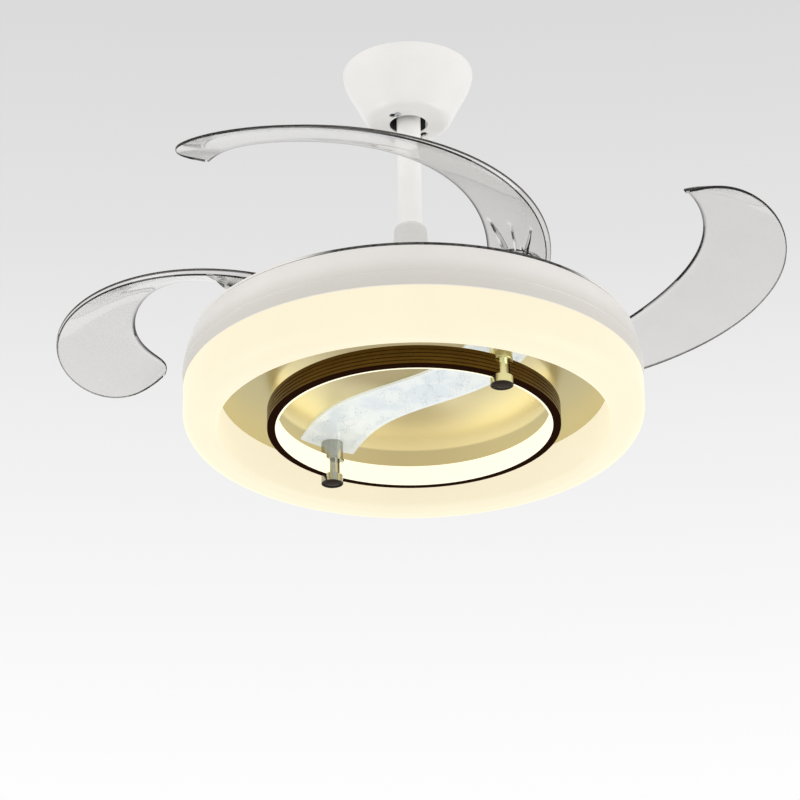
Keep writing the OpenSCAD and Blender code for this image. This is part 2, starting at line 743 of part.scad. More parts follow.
module standoff_caps() color(gold) at_posts() translate([0, 0, level(-post_cap_h)])
    difference() {
        union() {
            cylinder(d = post_d, h = post_cap_h);
            translate([0, 0, post_cap_h - 0.01]) cylinder(d = 4.8, h = 10, $fn = small);
        }
        translate([0, 0, -over]) cylinder(d = post_d - 3, h = 2 + over);
    }

// Dark faceted disc set into the underside of each cap
module cap_discs() color(black) at_posts() translate([0, 0, level(-post_cap_h)])
    difference() {
        cylinder(d = post_d - 3.1, h = 2);
        translate([0, 0, -over]) cylinder(d1 = 9, d2 = 5, h = 1 + over, $fn = 6);
    }

module standoff_nuts() color(steel) at_posts() translate([0, 0, pan_top]) difference() {
    hexagon(10, 4);
    translate([0, 0, -over]) cylinder(d = stud_d + 0.1, h = 6, $fn = small);
}

// ---------------------------------------------------------------- electrics on the chassis
box_r = motor_r + 38;
box_z = pan_top;

module rounded(w, l, r) polygon(concat(arc([w / 2 - r, l / 2 - r], r, 0, 90, 4),
    arc([r - w / 2, l / 2 - r], r, 90, 180, 4), arc([r - w / 2, r - l / 2], r, 180, 270, 4),
    arc([w / 2 - r, r - l / 2], r, 270, 360, 4)));

// Shallow case with rounded corners, fixing ears and a row of cooling slots
module electric_case(length, width, height, slots) {
    difference() {
        union() {
            linear_extrude(height) rounded(width, length, 3);
            linear_extrude(2) rounded(12, length + 20, 5);
        }
        for (side = [-1, 1]) translate([0, side * (length / 2 + 5), -over])
            cylinder(d = 3.4, h = 4, $fn = small);
        for (i = [0 : slots - 1])
            translate([-width / 3, (i - (slots - 1) / 2) * 6 - 1, height - 1])
                cube([2 * width / 3, 2, 1 + over]);
    }
}

module led_driver() color([0.85, 0.85, 0.83])
    rotate([0, 0, 180]) translate([box_r, 0, box_z]) electric_case(92, 44, case_h, 9);

module receiver() color(white)
    rotate([0, 0, 0]) translate([box_r, 0, box_z]) electric_case(78, 38, case_h - 2, 6);

module terminal_block() color(white) rotate([0, 0, 90]) translate([box_r - 8, 0, box_z])
    difference() {
        translate([-7, -20, 0]) cube([14, 40, 12]);
        for (i = [-2 : 2]) translate([0, i * 7.4, 5]) {
            rotate([0, 90, 0]) cylinder(d = 3.6, h = 30, center = true, $fn = small);
            cylinder(d = 4, h = 20, $fn = small);
        }
        for (i = [-1.5 : 1.5]) translate([-10, i * 7.4 - 0.5, 8]) cube([20, 1, 10]);
    }

// ---------------------------------------------------------------- blade carrier
tray_r = drum_head_r;
spindle_r = tray_r - spindle_inset;           // radius of the spindle circle
carrier_r = spindle_r + hub_r;
gear_module = 2 * spindle_r / (gear_teeth + ring_teeth);
gear_pitch_r = gear_module * gear_teeth / 2;
ring_pitch_r = gear_module * ring_teeth / 2;
ring_bore_r = ring_pitch_r - 18;
gear_z = carrier_z - 16;                      // underside of gears and ring
boss_r = 13;
bush_wall = 2.5;
bush_r = spindle_d / 2 + running_fit + bush_wall;
bush_foot = carrier_z - 8;
guide_t = 3;
keeper_angle = 360 / blades / 2;

module at_spindles() for (i = [0 : blades - 1])
    rotate([0, 0, first_spindle_angle + i * 360 / blades]) translate([spindle_r, 0, 0]) children();

// Case height that leaves room under the turning parts
case_h = min(20, gear_z - 8 - box_z);

// Directions, from a spindle, of the two rubber stops
stop_r = 5;
stop_circle = gear_pitch_r - 13;
sector_start = 180 - 180 / gear_teeth * 2;
sector_sweep = 6 * 360 / gear_teeth;
stop_offset = asin((stop_r + seat) / stop_circle);
stop_open = sector_start + sector_sweep + stop_offset;
stop_folded = sector_start - fold_angle - stop_offset;

module blade_carrier() color([0.88, 0.88, 0.87]) {
    difference() {
        union() {
            translate([0, 0, carrier_z]) cylinder(r = carrier_r, h = carrier_t, $fn = fine);
            // turned-down rim
            translate([0, 0, carrier_z - 6]) tube(carrier_r, carrier_r - 2, 6.01, $fn = fine);
            // guide on which the synchronising ring turns
            translate([0, 0, gear_z - seat]) tube(ring_bore_r - running_fit - 0.05,
                ring_bore_r - guide_t, carrier_z - gear_z + seat + 0.01, $fn = fine);
            at_spindles() translate([0, 0, bush_foot]) cylinder(r = boss_r, h = 8.01);
            // bosses for the keepers, inside the guide
            for (i = [0 : blades - 1])
                rotate([0, 0, first_spindle_angle + keeper_angle + i * 360 / blades])
                    translate([ring_bore_r - guide_t - 3, 0, gear_z - seat])
                        cylinder(r = 5, h = carrier_z - gear_z + seat + 0.01, $fn = small);
        }
        translate([0, 0, carrier_z - over]) cylinder(r = 30, h = carrier_t + 2 * over);
        at_spindles() translate([0, 0, bush_foot - over])
            cylinder(r = bush_r + running_fit, h = 8 + carrier_t + 2 * over);
        for (a = [0 : 60 : 300]) rotate([0, 0, a]) translate([50, 0, carrier_z - over])
            cylinder(d = 4.2, h = carrier_t + 2 * over, $fn = small);
        for (i = [0 : blades - 1])
            rotate([0, 0, first_spindle_angle + keeper_angle + i * 360 / blades]) {
                translate([ring_bore_r - guide_t - 3, 0, gear_z - over])
                    cylinder(d = 3, h = 10, $fn = small);
                // lightening window between two spindles
                translate([0, 0, carrier_z - over])
                    rotate([0, 0, -14]) rotate_extrude(angle = 28)
                        translate([motor_r + 6, 0])
                            square([ring_bore_r - motor_r - 22, carrier_t + 2 * over]);
            }
        at_spindles() for (a = [stop_open, stop_folded]) rotate([0, 0, a])
            translate([stop_circle, 0, carrier_z - over])
                cylinder(d = 4, h = carrier_t + 2 * over, $fn = small);
    }
}

module carrier_screws() color(steel)
    for (a = [0 : 60 : 300]) rotate([0, 0, a]) translate([50, 0, carrier_z + carrier_t])
        screw(4, carrier_t + shell_t, 7.5, 2);

module blade_tray() color(clear) translate([0, 0, tray_z]) difference() {
    cylinder(r = tray_r, h = tray_t, $fn = fine);
    translate([0, 0, -over]) cylinder(r = 60, h = tray_t + 2 * over);
    at_spindles() translate([0, 0, -over]) cylinder(r = boss_r + 1, h = tray_t + 2 * over);
}

// Flanged bush in each boss; the flange fills the tray's hole
module spindle_bushes() color(brass) at_spindles() difference() {
    union() {
        translate([0, 0, bush_foot]) cylinder(r = bush_r, h = tray_z - bush_foot + 0.01);
        translate([0, 0, tray_z]) cylinder(r = boss_r + 0.5, h = tray_t);
    }
    translate([0, 0, bush_foot - over])
        cylinder(r = spindle_d / 2 + running_fit, h = tray_top - bush_foot + 2 * over);
}

module stop_bumpers() color(black) at_spindles() for (a = [stop_open, stop_folded])
    rotate([0, 0, a]) translate([stop_circle, 0, 0]) {
        translate([0, 0, gear_z + 0.5]) cylinder(r = stop_r, h = carrier_z - gear_z - 0.5,
            $fn = small);
        translate([0, 0, carrier_z - 0.01]) cylinder(d = 3.9, h = carrier_t, $fn = small);
    }

module ring_keepers() color(steel) for (i = [0 : blades - 1])
    rotate([0, 0, first_spindle_angle + keeper_angle + i * 360 / blades])
        translate([ring_bore_r - guide_t - 3, 0, gear_z - seat]) {
            translate([0, 0, -1.5]) difference() {
                translate([-6, -7, 0]) cube([18, 14, 1.5]);
                translate([0, 0, -over]) cylinder(d = 3.2, h = 4, $fn = small);
            }
            translate([0, 0, -1.5]) rotate([180, 0, 0]) screw(2.9, 9, 5.5, 1.6);
        }

// ---------------------------------------------------------------- return springs
// Close-wound torsion spring round each boss: one unbroken tube with a leg
// down to the blade gear and a leg up into the carrier
spring_wire = 1.5;
spring_turns = 4;
spring_pitch = 2;
rings_a_turn = 8;
tube_sides = 6;
spring_low = carrier_z - 9;
leg_l = 6;
// the flats of an eight-sided turn clear the boss by one seat
spring_r = (boss_r + seat + spring_wire / 2) / cos(180 / rings_a_turn) + 0.1;

function spring_path() = let (n = spring_turns * rings_a_turn)
    concat([[spring_r, -leg_l, spring_low], [spring_r, -leg_l / 2, spring_low]],
        [for (i = [0 : n]) let (a = i * 360 / rings_a_turn)
            [spring_r * cos(a), spring_r * sin(a), spring_low + spring_pitch * i / rings_a_turn]],
        [[spring_r, leg_l / 2, spring_low + spring_pitch * spring_turns],
         [spring_r, leg_l, spring_low + spring_pitch * spring_turns]]);

function unit(v) = v / norm(v);

// Six-sided tube along a path, its rings square to the path
module wire_tube(path, r) {
    n = len(path);
    points = [for (i = [0 : n - 1])
        let (ahead = path[min(i + 1, n - 1)], back = path[max(i - 1, 0)],
            t = unit(ahead - back), side = unit(cross(t, [0, 0, 1])), up = cross(side, t))
        for (k = [0 : tube_sides - 1]) let (a = 360 * k / tube_sides)
            path[i] + r * (cos(a) * side + sin(a) * up)];
    walls = [for (i = [0 : n - 2], k = [0 : tube_sides - 1]) let (m = tube_sides,
            a = i * m + k, b = i * m + wrap(k + 1, m), c = b + m, d = a + m)
        each [[a, b, c], [a, c, d]]];
    first = [for (k = [1 : tube_sides - 2]) [0, k + 1, k]];
    last_0 = (n - 1) * tube_sides;
    last = [for (k = [1 : tube_sides - 2]) [last_0, last_0 + k, last_0 + k + 1]];
    polyhedron(points, concat(walls, first, last));
}

// Least gap between two points of the wire that lie half a turn or more apart
spring_gap = let (p = spring_path(), n = len(p), half = rings_a_turn / 2)
    min([for (i = [0 : n - 1 - half], j = [i + half : n - 1]) norm(p[i] - p[j])]) - spring_wire;
echo(least_gap_in_spring = spring_gap);

module return_springs() color(steel) at_spindles() rotate([0, 0, 90])
    wire_tube(spring_path(), spring_wire / 2);

// ---------------------------------------------------------------- gears
backlash = 0.35;                              // taken off each tooth at the pitch circle
pressure_angle = 20;

// Corner points of one involute tooth that points along angle a; its foot
// lies a little inside the root circle
function tooth(teeth, m, a) = let (
        r = m * teeth / 2, rb = r * cos(pressure_angle),
        tip = r + 0.85 * m, root = r - 1.2 * m,
        inv_p = tan(pressure_angle) * 180 / PI - pressure_angle,
        half = 90 / teeth - backlash / (2 * r) * 180 / PI + inv_p,
        start = max(rb, root), flank = 4,
        side = [for (i = [0 : flank]) let (q = mix(start, tip, i / flank), al = acos(rb / q))
            [q, half - (tan(al) * 180 / PI - al)]])
    concat(start > root ? [polar(root, a - side[0][1])] : [],
        [for (p = side) polar(p[0], a - p[1])],
        [for (i = [flank : -1 : 0]) polar(side[i][0], a + side[i][1])],
        start > root ? [polar(root, a + side[0][1])] : []);

// A third of a toothed wheel on a round hub, drawn as it stands when open
module blade_gear(i) color([0.92, 0.90, 0.84]) blade_frame(i) {
    root = gear_pitch_r - 1.2 * gear_module;
    pitch_angle = 360 / gear_teeth;
    sector_teeth = sector_sweep / pitch_angle;
    outline = concat([[0, 0], polar(root, sector_start)],
        [for (k = [0 : sector_teeth - 1])
            each tooth(gear_teeth, gear_module, sector_start + (k + 0.5) * pitch_angle)],
        [polar(root, sector_start + sector_sweep)]);
    translate([spindle_r, 0, gear_z]) difference() {
        rotate([0, 0, -fold_angle]) union() {
            cylinder(r = 12, h = gear_w);
            linear_extrude(gear_w) polygon(outline);
        }
        translate([0, 0, -over]) cylinder(r = spindle_d / 2 + running_fit, h = gear_w + 2 * over);
        // slot for the key on the spindle
        translate([spindle_d / 2 - 1, -1.5, -over]) cube([3, 3, gear_w + 2 * over]);
    }
}

module blade_gear_1() blade_gear(0);
module blade_gear_2() blade_gear(1);
module blade_gear_3() blade_gear(2);
module blade_gear_4() blade_gear(3);

// Ring with a group of teeth for each blade and plain rim between the groups
module sync_ring() color([0.92, 0.90, 0.84]) translate([0, 0, gear_z]) {
    root = ring_pitch_r - 1.2 * gear_module;
    pitch_angle = 360 / ring_teeth;
    outline = [for (i = [0 : blades - 1]) let (a = first_spindle_angle + i * 360 / blades)
        each concat(
            [for (k = [-5 : 2]) each tooth(ring_teeth, gear_module, a + k * pitch_angle)],
            arc([0, 0], root, a + 3 * pitch_angle, a + 360 / blades - 6 * pitch_angle, 16))];
    difference() {
        linear_extrude(gear_w) polygon(outline);
        translate([0, 0, -over]) cylinder(r = ring_bore_r, h = gear_w + 2 * over, $fn = fine);
        for (i = [0 : blades - 1], k = [-3.5 : 2.5])
            rotate([0, 0, first_spindle_angle + keeper_angle + i * 360 / blades + k * 7])
                translate([ring_bore_r + 7, 0, -over])
                    cylinder(r = 2.5, h = gear_w + 2 * over, $fn = small);
    }
}

// ---------------------------------------------------------------- spindles and blades
spindle_foot = gear_z - 3;
hub_z = tray_top + seat;
nut_h = 5;

// Frame of blade i in which its folded shape is drawn about the fan's axis;
// the turn by fold_angle about the spindle opens it
module blade_frame(i) rotate([0, 0, first_spindle_angle + i * 360 / blades])
    translate([spindle_r, 0, 0]) rotate([0, 0, fold_angle]) translate([-spindle_r, 0, 0])
        children();

module spindle(i) color(steel) blade_frame(i) translate([spindle_r, 0, 0]) {
    difference() {
        translate([0, 0, spindle_foot])
            cylinder(d = spindle_d, h = hub_z + hub_h + nut_h - spindle_foot);
        // groove for the retaining clip
        translate([0, 0, gear_z - 1.7]) tube(spindle_d, spindle_d / 2 - 0.8, 1.2);
    }
    translate([0, 0, gear_z - 1.6]) difference() {
        tube(spindle_d / 2 + 2.5, spindle_d / 2 - 0.75, 1);
        translate([0, -3, -over]) cube([spindle_d, 6, 4]);
    }
    translate([spindle_d / 2 - 0.5, -1.4, gear_z]) cube([2, 2.8, gear_w]);
    translate([0, 0, hub_z + hub_h]) {
        cylinder(r = 9, h = 1);
        hexagon(16, nut_h);
    }
}

module spindle_1() spindle(0);
module spindle_2() spindle(1);
module spindle_3() spindle(2);
module spindle_4() spindle(3);

// The blade's two edges, as distances from the spindle circle and heights
// above the tray; the last value of each pair is the shared tip
edge_out = [hub_r, 34, 2.5, 58, 96, -12.5];
edge_in = [-hub_r, -30, -114, 0, -38, -12.5];
rise_out = [8, 55, 38, 46, 71];
rise_in = [17, 116, 45, 106, 71];
camber = 5;
lip_w = 6;
lip_h = 5;
blade_stations = 30;
blade_strips = 6;
tip_t = 0.993;

// Point of the blade's lower face: t runs from root to tip, u from the
// inner edge (0) to the outer edge (1), past 1 on the turned-up lip
function blade_point(t, u) = let (
        w = min(u, 1), beyond = u - w, fade = max(0.15, 1 - t / 0.62),
        r = spindle_r + mix(bezier(edge_in, t), bezier(edge_out, t), w)
            + beyond * lip_w * fade,
        a = -blade_span * sin(90 * t),
        z = tray_top + mix(bezier(rise_in, t), bezier(rise_out, t), w)
            + camber * sin(180 * w) * sin(180 * t) + beyond * lip_h * fade)
    [r * cos(a), r * sin(a), z];

strips = [for (k = [0 : blade_strips]) k / blade_strips, 2];

// Skin of the blade: upper face, lower face one thickness below it, edges
module blade_skin() {
    m = len(strips);
    n = blade_stations;
    lower = [for (i = [0 : n], u = strips) blade_point(tip_t * i / n, u)];
    upper = [for (p = lower) p + [0, 0, blade_t]];
    low = len(upper);                         // index of the first lower point
    faces = concat(
        [for (i = [0 : n - 1], k = [0 : m - 2]) let (a = i * m + k, b = a + 1, c = b + m, d = a + m)
            each [[a, b, c], [a, c, d], [low + a, low + c, low + b], [low + a, low + d, low + c]]],
        [for (i = [0 : n - 1]) let (a = i * m, d = a + m)
            each [[a, d, low + d], [a, low + d, low + a]]],
        [for (i = [0 : n - 1]) let (b = i * m + m - 1, c = b + m)
            each [[b, low + b, low + c], [b, low + c, c]]],
        [for (k = [0 : m - 2]) each [[k, low + k, low + k + 1], [k, low + k + 1, k + 1]]],
        [for (k = [0 : m - 2]) let (e = n * m + k)
            each [[e, e + 1, low + e + 1], [e, low + e + 1, low + e]]]);
    polyhedron(concat(upper, lower), faces);
}

// Gusset rib under the root: it runs out from the boss to the line u, and its
// lower edge rises from the hub's foot until it meets the blade
rib_end = 0.088;
rib_half = 0.016;                             // half thickness, as a share of the width
module gusset(u) {
    n = 6;
    function at(i) = let (k = mix(0.1, 1, i / n)) [rib_end * k, mix(0.5, u, k)];
    foot = [for (i = [0 : n], side = [-1, 1])
        let (p = blade_point(at(i)[0], at(i)[1] + side * rib_half))
            [p.x, p.y, mix(hub_z + 1, p.z + blade_t / 4, i / n)]];
    roof = [for (i = [0 : n], side = [-1, 1])
        blade_point(at(i)[0], at(i)[1] + side * rib_half) + [0, 0, blade_t / 2]];
    low = len(roof);
    faces = concat([for (i = [0 : n - 1]) let (a = 2 * i, b = a + 1, c = a + 3, d = a + 2)
            each [[a, b, c], [a, c, d], [low + a, low + c, low + b], [low + a, low + d, low + c],
                [a, d, low + d], [a, low + d, low + a], [b, low + b, low + c], [b, low + c, c]]],
        [[0, low, low + 1], [0, low + 1, 1]],
        [let (e = 2 * n) each [[e, e + 1, low + e + 1], [e, low + e + 1, low + e]]]);
    polyhedron(concat(roof, foot), faces);
}

// The hub is a round cup, open below, with a boss for the spindle
hub_wall = 2.5;
hub_boss_r = spindle_d / 2 + 5;
module blade(i) color(clear) blade_frame(i) difference() {
    union() {
        difference() {
            blade_skin();
            translate([spindle_r, 0, hub_z - over]) cylinder(r = hub_r - hub_wall / 2, h = hub_h);
        }
        for (u = [0.14, 0.48, 0.82]) gusset(u);
        translate([spindle_r, 0, hub_z]) {
            cylinder(r = hub_boss_r, h = hub_h);
            difference() {
                cylinder(r = hub_r, h = hub_h);
                translate([0, 0, -over]) cylinder(r = hub_r - hub_wall, h = hub_h - hub_wall + over);
            }
        }
    }
    translate([spindle_r, 0, hub_z - over])
        cylinder(r = spindle_d / 2 + running_fit, h = hub_h + 2 * over);
}

module blade_1() blade(0);
module blade_2() blade(1);
module blade_3() blade(2);
module blade_4() blade(3);

hanger_bracket();
canopy();
canopy_screws();
hanger_ball();
hanger_pin();
downrod();
rod_coupling();
coupling_bolt();
coupling_set_screws();
coupling_cover();
motor_shaft();
shaft_collar();
stator_core();
stator_coils();
shaft_flange_screws();
lamp_chassis();
drum();
drum_screws();
led_board();
led_chips();
ring_diffuser();
gold_plate();
crystal_band();
hoop_left();
hoop_right();
hoop_light_strips();
standoff_posts();
standoff_caps();
cap_discs();
standoff_nuts();
led_driver();
receiver();
terminal_block();
rotor_cover_upper();
rotor_cover_lower();
motor_magnets();
motor_bearings();
rotor_screws();
blade_carrier();
carrier_screws();
blade_tray();
spindle_bushes();
return_springs();
stop_bumpers();
ring_keepers();
sync_ring();
blade_1();
blade_2();
blade_3();
blade_4();
spindle_1();
spindle_2();
spindle_3();
spindle_4();
blade_gear_1();
blade_gear_2();
blade_gear_3();
blade_gear_4();
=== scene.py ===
"""Looks of a ceiling fan with four folding clear blades and a ring lamp.

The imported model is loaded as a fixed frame. Each sub-assembly is a class that
holds its sizes and makes or dresses its own pieces; each finish is a small
frozen dataclass that builds one node material. The classes hold millimetres
and degrees, and finished meshes and materials are in metres, in the frame of
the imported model: the ceiling is z = 0 and everything hangs below.
"""

import logging
import math
from dataclasses import dataclass, field
from enum import Enum

import bpy
import numpy as np
from mathutils import Matrix
from numpy.typing import NDArray


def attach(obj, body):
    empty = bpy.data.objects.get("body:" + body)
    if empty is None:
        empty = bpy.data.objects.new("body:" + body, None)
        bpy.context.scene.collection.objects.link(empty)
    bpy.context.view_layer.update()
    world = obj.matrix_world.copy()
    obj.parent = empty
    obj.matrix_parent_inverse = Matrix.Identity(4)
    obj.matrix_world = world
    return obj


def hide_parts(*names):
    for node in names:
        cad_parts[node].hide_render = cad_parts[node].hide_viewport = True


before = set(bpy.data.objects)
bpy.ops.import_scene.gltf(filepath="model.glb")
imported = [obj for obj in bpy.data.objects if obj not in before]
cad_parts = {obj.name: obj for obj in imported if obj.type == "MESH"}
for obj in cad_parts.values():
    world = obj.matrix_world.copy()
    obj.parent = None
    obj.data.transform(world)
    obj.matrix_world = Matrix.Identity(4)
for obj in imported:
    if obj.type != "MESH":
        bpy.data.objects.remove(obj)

Array = NDArray[np.float64]
Faces = list[list[int]]
Colour = tuple[float, float, float]
Spot = tuple[float, float]
Socket = bpy.types.NodeSocket

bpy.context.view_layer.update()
LOG = logging.getLogger("ceiling_fan")
MM = 0.001

# What several classes share: millimetres from the fan's axis and the ceiling,
# and degrees about the axis. Edges sharper than CREASE stay sharp.
AXIS: Spot = (0.0, 0.0)
BLADES = 4
TRAY_TOP = -346.8
SPINDLE_R = 185.0
SPINDLE_ANGLE = -54.0
POST_ANGLE = -53.0
HALVES = (0.0, 180.0)
CREASE = 50.0

# Most of a noise pattern's values lie between these two.
CLOUD: Spot = (0.3, 0.7)


def tone(red: int, green: int, blue: int) -> Colour:
    """Turns a colour as it looks on a screen, 0 to 255, into linear light.

    Args:
        red: Red, 0 to 255.
        green: Green, 0 to 255.
        blue: Blue, 0 to 255.

    Returns:
        The three linear values: c / 12.92 below 0.04045, else
        ((c + 0.055) / 1.055) ** 2.4, with c the value over 255.
    """
    c = np.array([red, green, blue]) / 255
    linear = np.where(c <= 0.04045, c / 12.92, ((c + 0.055) / 1.055) ** 2.4)
    return tuple(linear.tolist())


def shade(colour: Colour, factor: float) -> Colour:
    """Multiplies a colour by a factor and keeps it below white."""
    return tuple(min(1.0, c * factor) for c in colour)


def placed(name: str, data: bpy.types.ID) -> bpy.types.Object:
    """Makes the object of a mesh, lamp or camera and links it to the scene."""
    made = bpy.data.objects.new(name, data)
    bpy.context.scene.collection.objects.link(made)
    return made


def stand(thing: bpy.types.Object, axes: list[Array], at: Colour) -> None:
    """Lays an object's x, y and z along three directions and moves it."""
    turn = Matrix(np.stack(axes, 1).tolist()).to_4x4()
    thing.matrix_world = Matrix.Translation(at) @ turn


# ---------------------------------------------------------------- surfaces


def grid_quads(rows: int, cols: int, wrap_rows: bool, wrap_cols: bool) -> Faces:
    """Joins a grid of points, numbered row by row, with quads.

    Args:
        rows: Number of rows of points.
        cols: Number of points in a row.
        wrap_rows: Whether the last row joins the first one.
        wrap_cols: Whether the last point of a row joins its first one.

    Returns:
        The quads (i, j), (i + 1, j), (i + 1, j + 1), (i, j + 1).
    """
    i, j = np.meshgrid(
        np.arange(rows if wrap_rows else rows - 1),
        np.arange(cols if wrap_cols else cols - 1),
        indexing="ij",
    )
    i2, j2 = (i + 1) % rows, (j + 1) % cols
    corners = [i * cols + j, i2 * cols + j, i2 * cols + j2, i * cols + j2]
    return np.stack(corners, -1).reshape(-1, 4).tolist()


def signed_volume(points: Array, faces: Faces) -> float:
    """Sums a . (b x c) / 6 over the triangles that fan out each face.

    Args:
        points: The surface's points.
        faces: Its faces.

    Returns:
        The volume inside, above zero where the faces point outwards.
    """
    fans = [(f[0], f[k], f[k + 1]) for f in faces for k in range(1, len(f) - 1)]
    a, b, c = (points[list(side)] for side in zip(*fans))
    return float(np.einsum("ij,ij->i", a, np.cross(b, c)).sum() / 6)


@dataclass
class Shell:
    """One closed surface: its points, its faces and a rim mark per point."""

    points: Array
    faces: Faces
    rim: Array | None = None

    def outward(self) -> "Shell":
        """Turns all faces round where they enclose a negative volume."""
        if signed_volume(self.points, self.faces) < 0:
            self.faces = [f[::-1] for f in self.faces]
        return self

    def mesh(self, name: str) -> bpy.types.Mesh:
        """Makes a smooth-shaded mesh with the rim mark as a point attribute.

        Args:
            name: The mesh's name.

        Returns:
            The mesh.
        """
        made = bpy.data.meshes.new(name)
        made.from_pydata(self.points.tolist(), [], self.faces)
        marks = np.zeros(len(self.points)) if self.rim is None else self.rim
        layer = made.attributes.new("rim", "FLOAT", "POINT")
        layer.data.foreach_set("value", marks.astype(np.float32))
        made.shade_smooth()
        made.validate()
        return made

    def thing(self, name: str) -> bpy.types.Object:
        """Makes the object, at the origin, and links it to the scene."""
        return placed(name, self.mesh(name))


def lathe(profile: Array, sectors: int, centre: Spot = AXIS) -> Shell:
    """Turns a closed profile about an upright line.

    Point (k, s) is (cx + r_k cos(2 pi s / n), cy + r_k sin(2 pi s / n), z_k).

    Args:
        profile: Rows of (radius, height), a closed loop.
        sectors: Number of steps round the axis.
        centre: The axis's x and y.

    Returns:
        The closed ring surface.
    """
    angle = np.arange(sectors) * 2 * math.pi / sectors
    r, z = profile[:, :1], profile[:, 1:]
    x = centre[0] + r * np.cos(angle)
    y = centre[1] + r * np.sin(angle)
    points = np.stack([x, y, np.broadcast_to(z, x.shape)], -1).reshape(-1, 3)
    return Shell(points, grid_quads(len(profile), sectors, True, True)).outward()


def quarter(x: float, z: float, radius: float, start: float, steps: int) -> Array:
    """Gives a profile's rounded corner.

    Args:
        x: The corner circle's centre, out from the axis.
        z: Its centre's height.
        radius: Its radius r.
        start: The angle a of its first point; the last one is 90 further.
        steps: Number of points.

    Returns:
        The points (x + r cos a, z + r sin a).
    """
    a = np.radians(np.linspace(start, start + 90, steps))
    return np.stack([x + radius * np.cos(a), z + radius * np.sin(a)], -1)


def tube_of_sections(sections: Array, rim: Array | None = None) -> Shell:
    """Skins a row of closed sections and closes both ends with a face.

    Args:
        sections: Stations x points of a section x 3.
        rim: Stations x points of a section, the mark of each point.

    Returns:
        The closed surface.
    """
    rows, cols = sections.shape[:2]
    faces = grid_quads(rows, cols, False, True)
    faces.append(list(range(cols))[::-1])
    faces.append([(rows - 1) * cols + k for k in range(cols)])
    marks = None if rim is None else rim.reshape(-1)
    return Shell(sections.reshape(-1, 3), faces, marks).outward()


def plug(radius: float, sides: int, centre: Spot, low: float, high: float) -> Shell:
    """Makes an upright round prism, for a cut.

    Args:
        radius: Its radius r.
        sides: Its number of sides n.
        centre: Its axis's x and y.
        low: Height of its foot.
        high: Height of its head.

    Returns:
        The prism on the points (cx + r cos a, cy + r sin a), a = 2 pi k / n.
    """
    a = np.arange(sides) * 2 * math.pi / sides
    x, y = centre[0] + radius * np.cos(a), centre[1] + radius * np.sin(a)
    ends = [np.stack([x, y, np.full(sides, z)], -1) for z in (low, high)]
    return tube_of_sections(np.stack(ends))


def bezier(controls: tuple[float, ...], t: Array) -> Array:
    """Sums C(n, i) t^i (1 - t)^(n - i) c_i over the control values.

    Args:
        controls: The control values c_0 to c_n.
        t: Where to evaluate, 0 to 1.

    Returns:
        The curve's values, in the shape of t.
    """
    n = len(controls) - 1
    i = np.arange(n + 1)
    share = np.array([math.comb(n, k) for k in i])
    t = np.asarray(t, float)[..., None]
    return (share * t**i * (1 - t) ** (n - i) * np.array(controls)).sum(-1)


def turned(points: Array, degrees: float, centre: Spot = AXIS) -> Array:
    """Turns points about an upright line.

    Args:
        points: Points, n x 3.
        degrees: The angle, anticlockwise seen from above.
        centre: The line's x and y.

    Returns:
        The turned points.
    """
    a = math.radians(degrees)
    spin = np.array([[math.cos(a), math.sin(a)], [-math.sin(a), math.cos(a)]])
    xy = (points[..., :2] - centre) @ spin + centre
    return np.concatenate([xy, points[..., 2:]], -1)


def carved(
    base: bpy.types.Object, steps: list[tuple[str, bpy.types.Object]]
) -> bpy.types.Mesh:
    """Joins solids to a base and cuts solids from it, and removes them all.

    Args:
        base: The solid to start from.
        steps: UNION or DIFFERENCE and the other solid, in order.

    Returns:
        The finished mesh.
    """
    for kind, tool in steps:
        change = base.modifiers.new(tool.name, "BOOLEAN")
        change.operation, change.object, change.solver = kind, tool, "EXACT"
    scene_now = bpy.context.evaluated_depsgraph_get()
    made = bpy.data.meshes.new_from_object(base.evaluated_get(scene_now))
    for thing in [base, *[tool for _, tool in steps]]:
        bpy.data.objects.remove(thing)
    return made


def creased(mesh: bpy.types.Mesh, degrees: float = CREASE) -> bpy.types.Mesh:
    """Shades a mesh smooth, but for edges sharper than the angle."""
    mesh.shade_smooth()
    mesh.set_sharp_from_angle(angle=math.radians(degrees))
    return mesh


def clear_piece(name: str, mesh: bpy.types.Mesh) -> bpy.types.Object:
    """Makes a piece of clear plastic, which holds back no soft light."""
    piece = placed(name, mesh)
    piece.visible_shadow = piece.visible_diffuse = False
    return piece


# ---------------------------------------------------------------- node materials


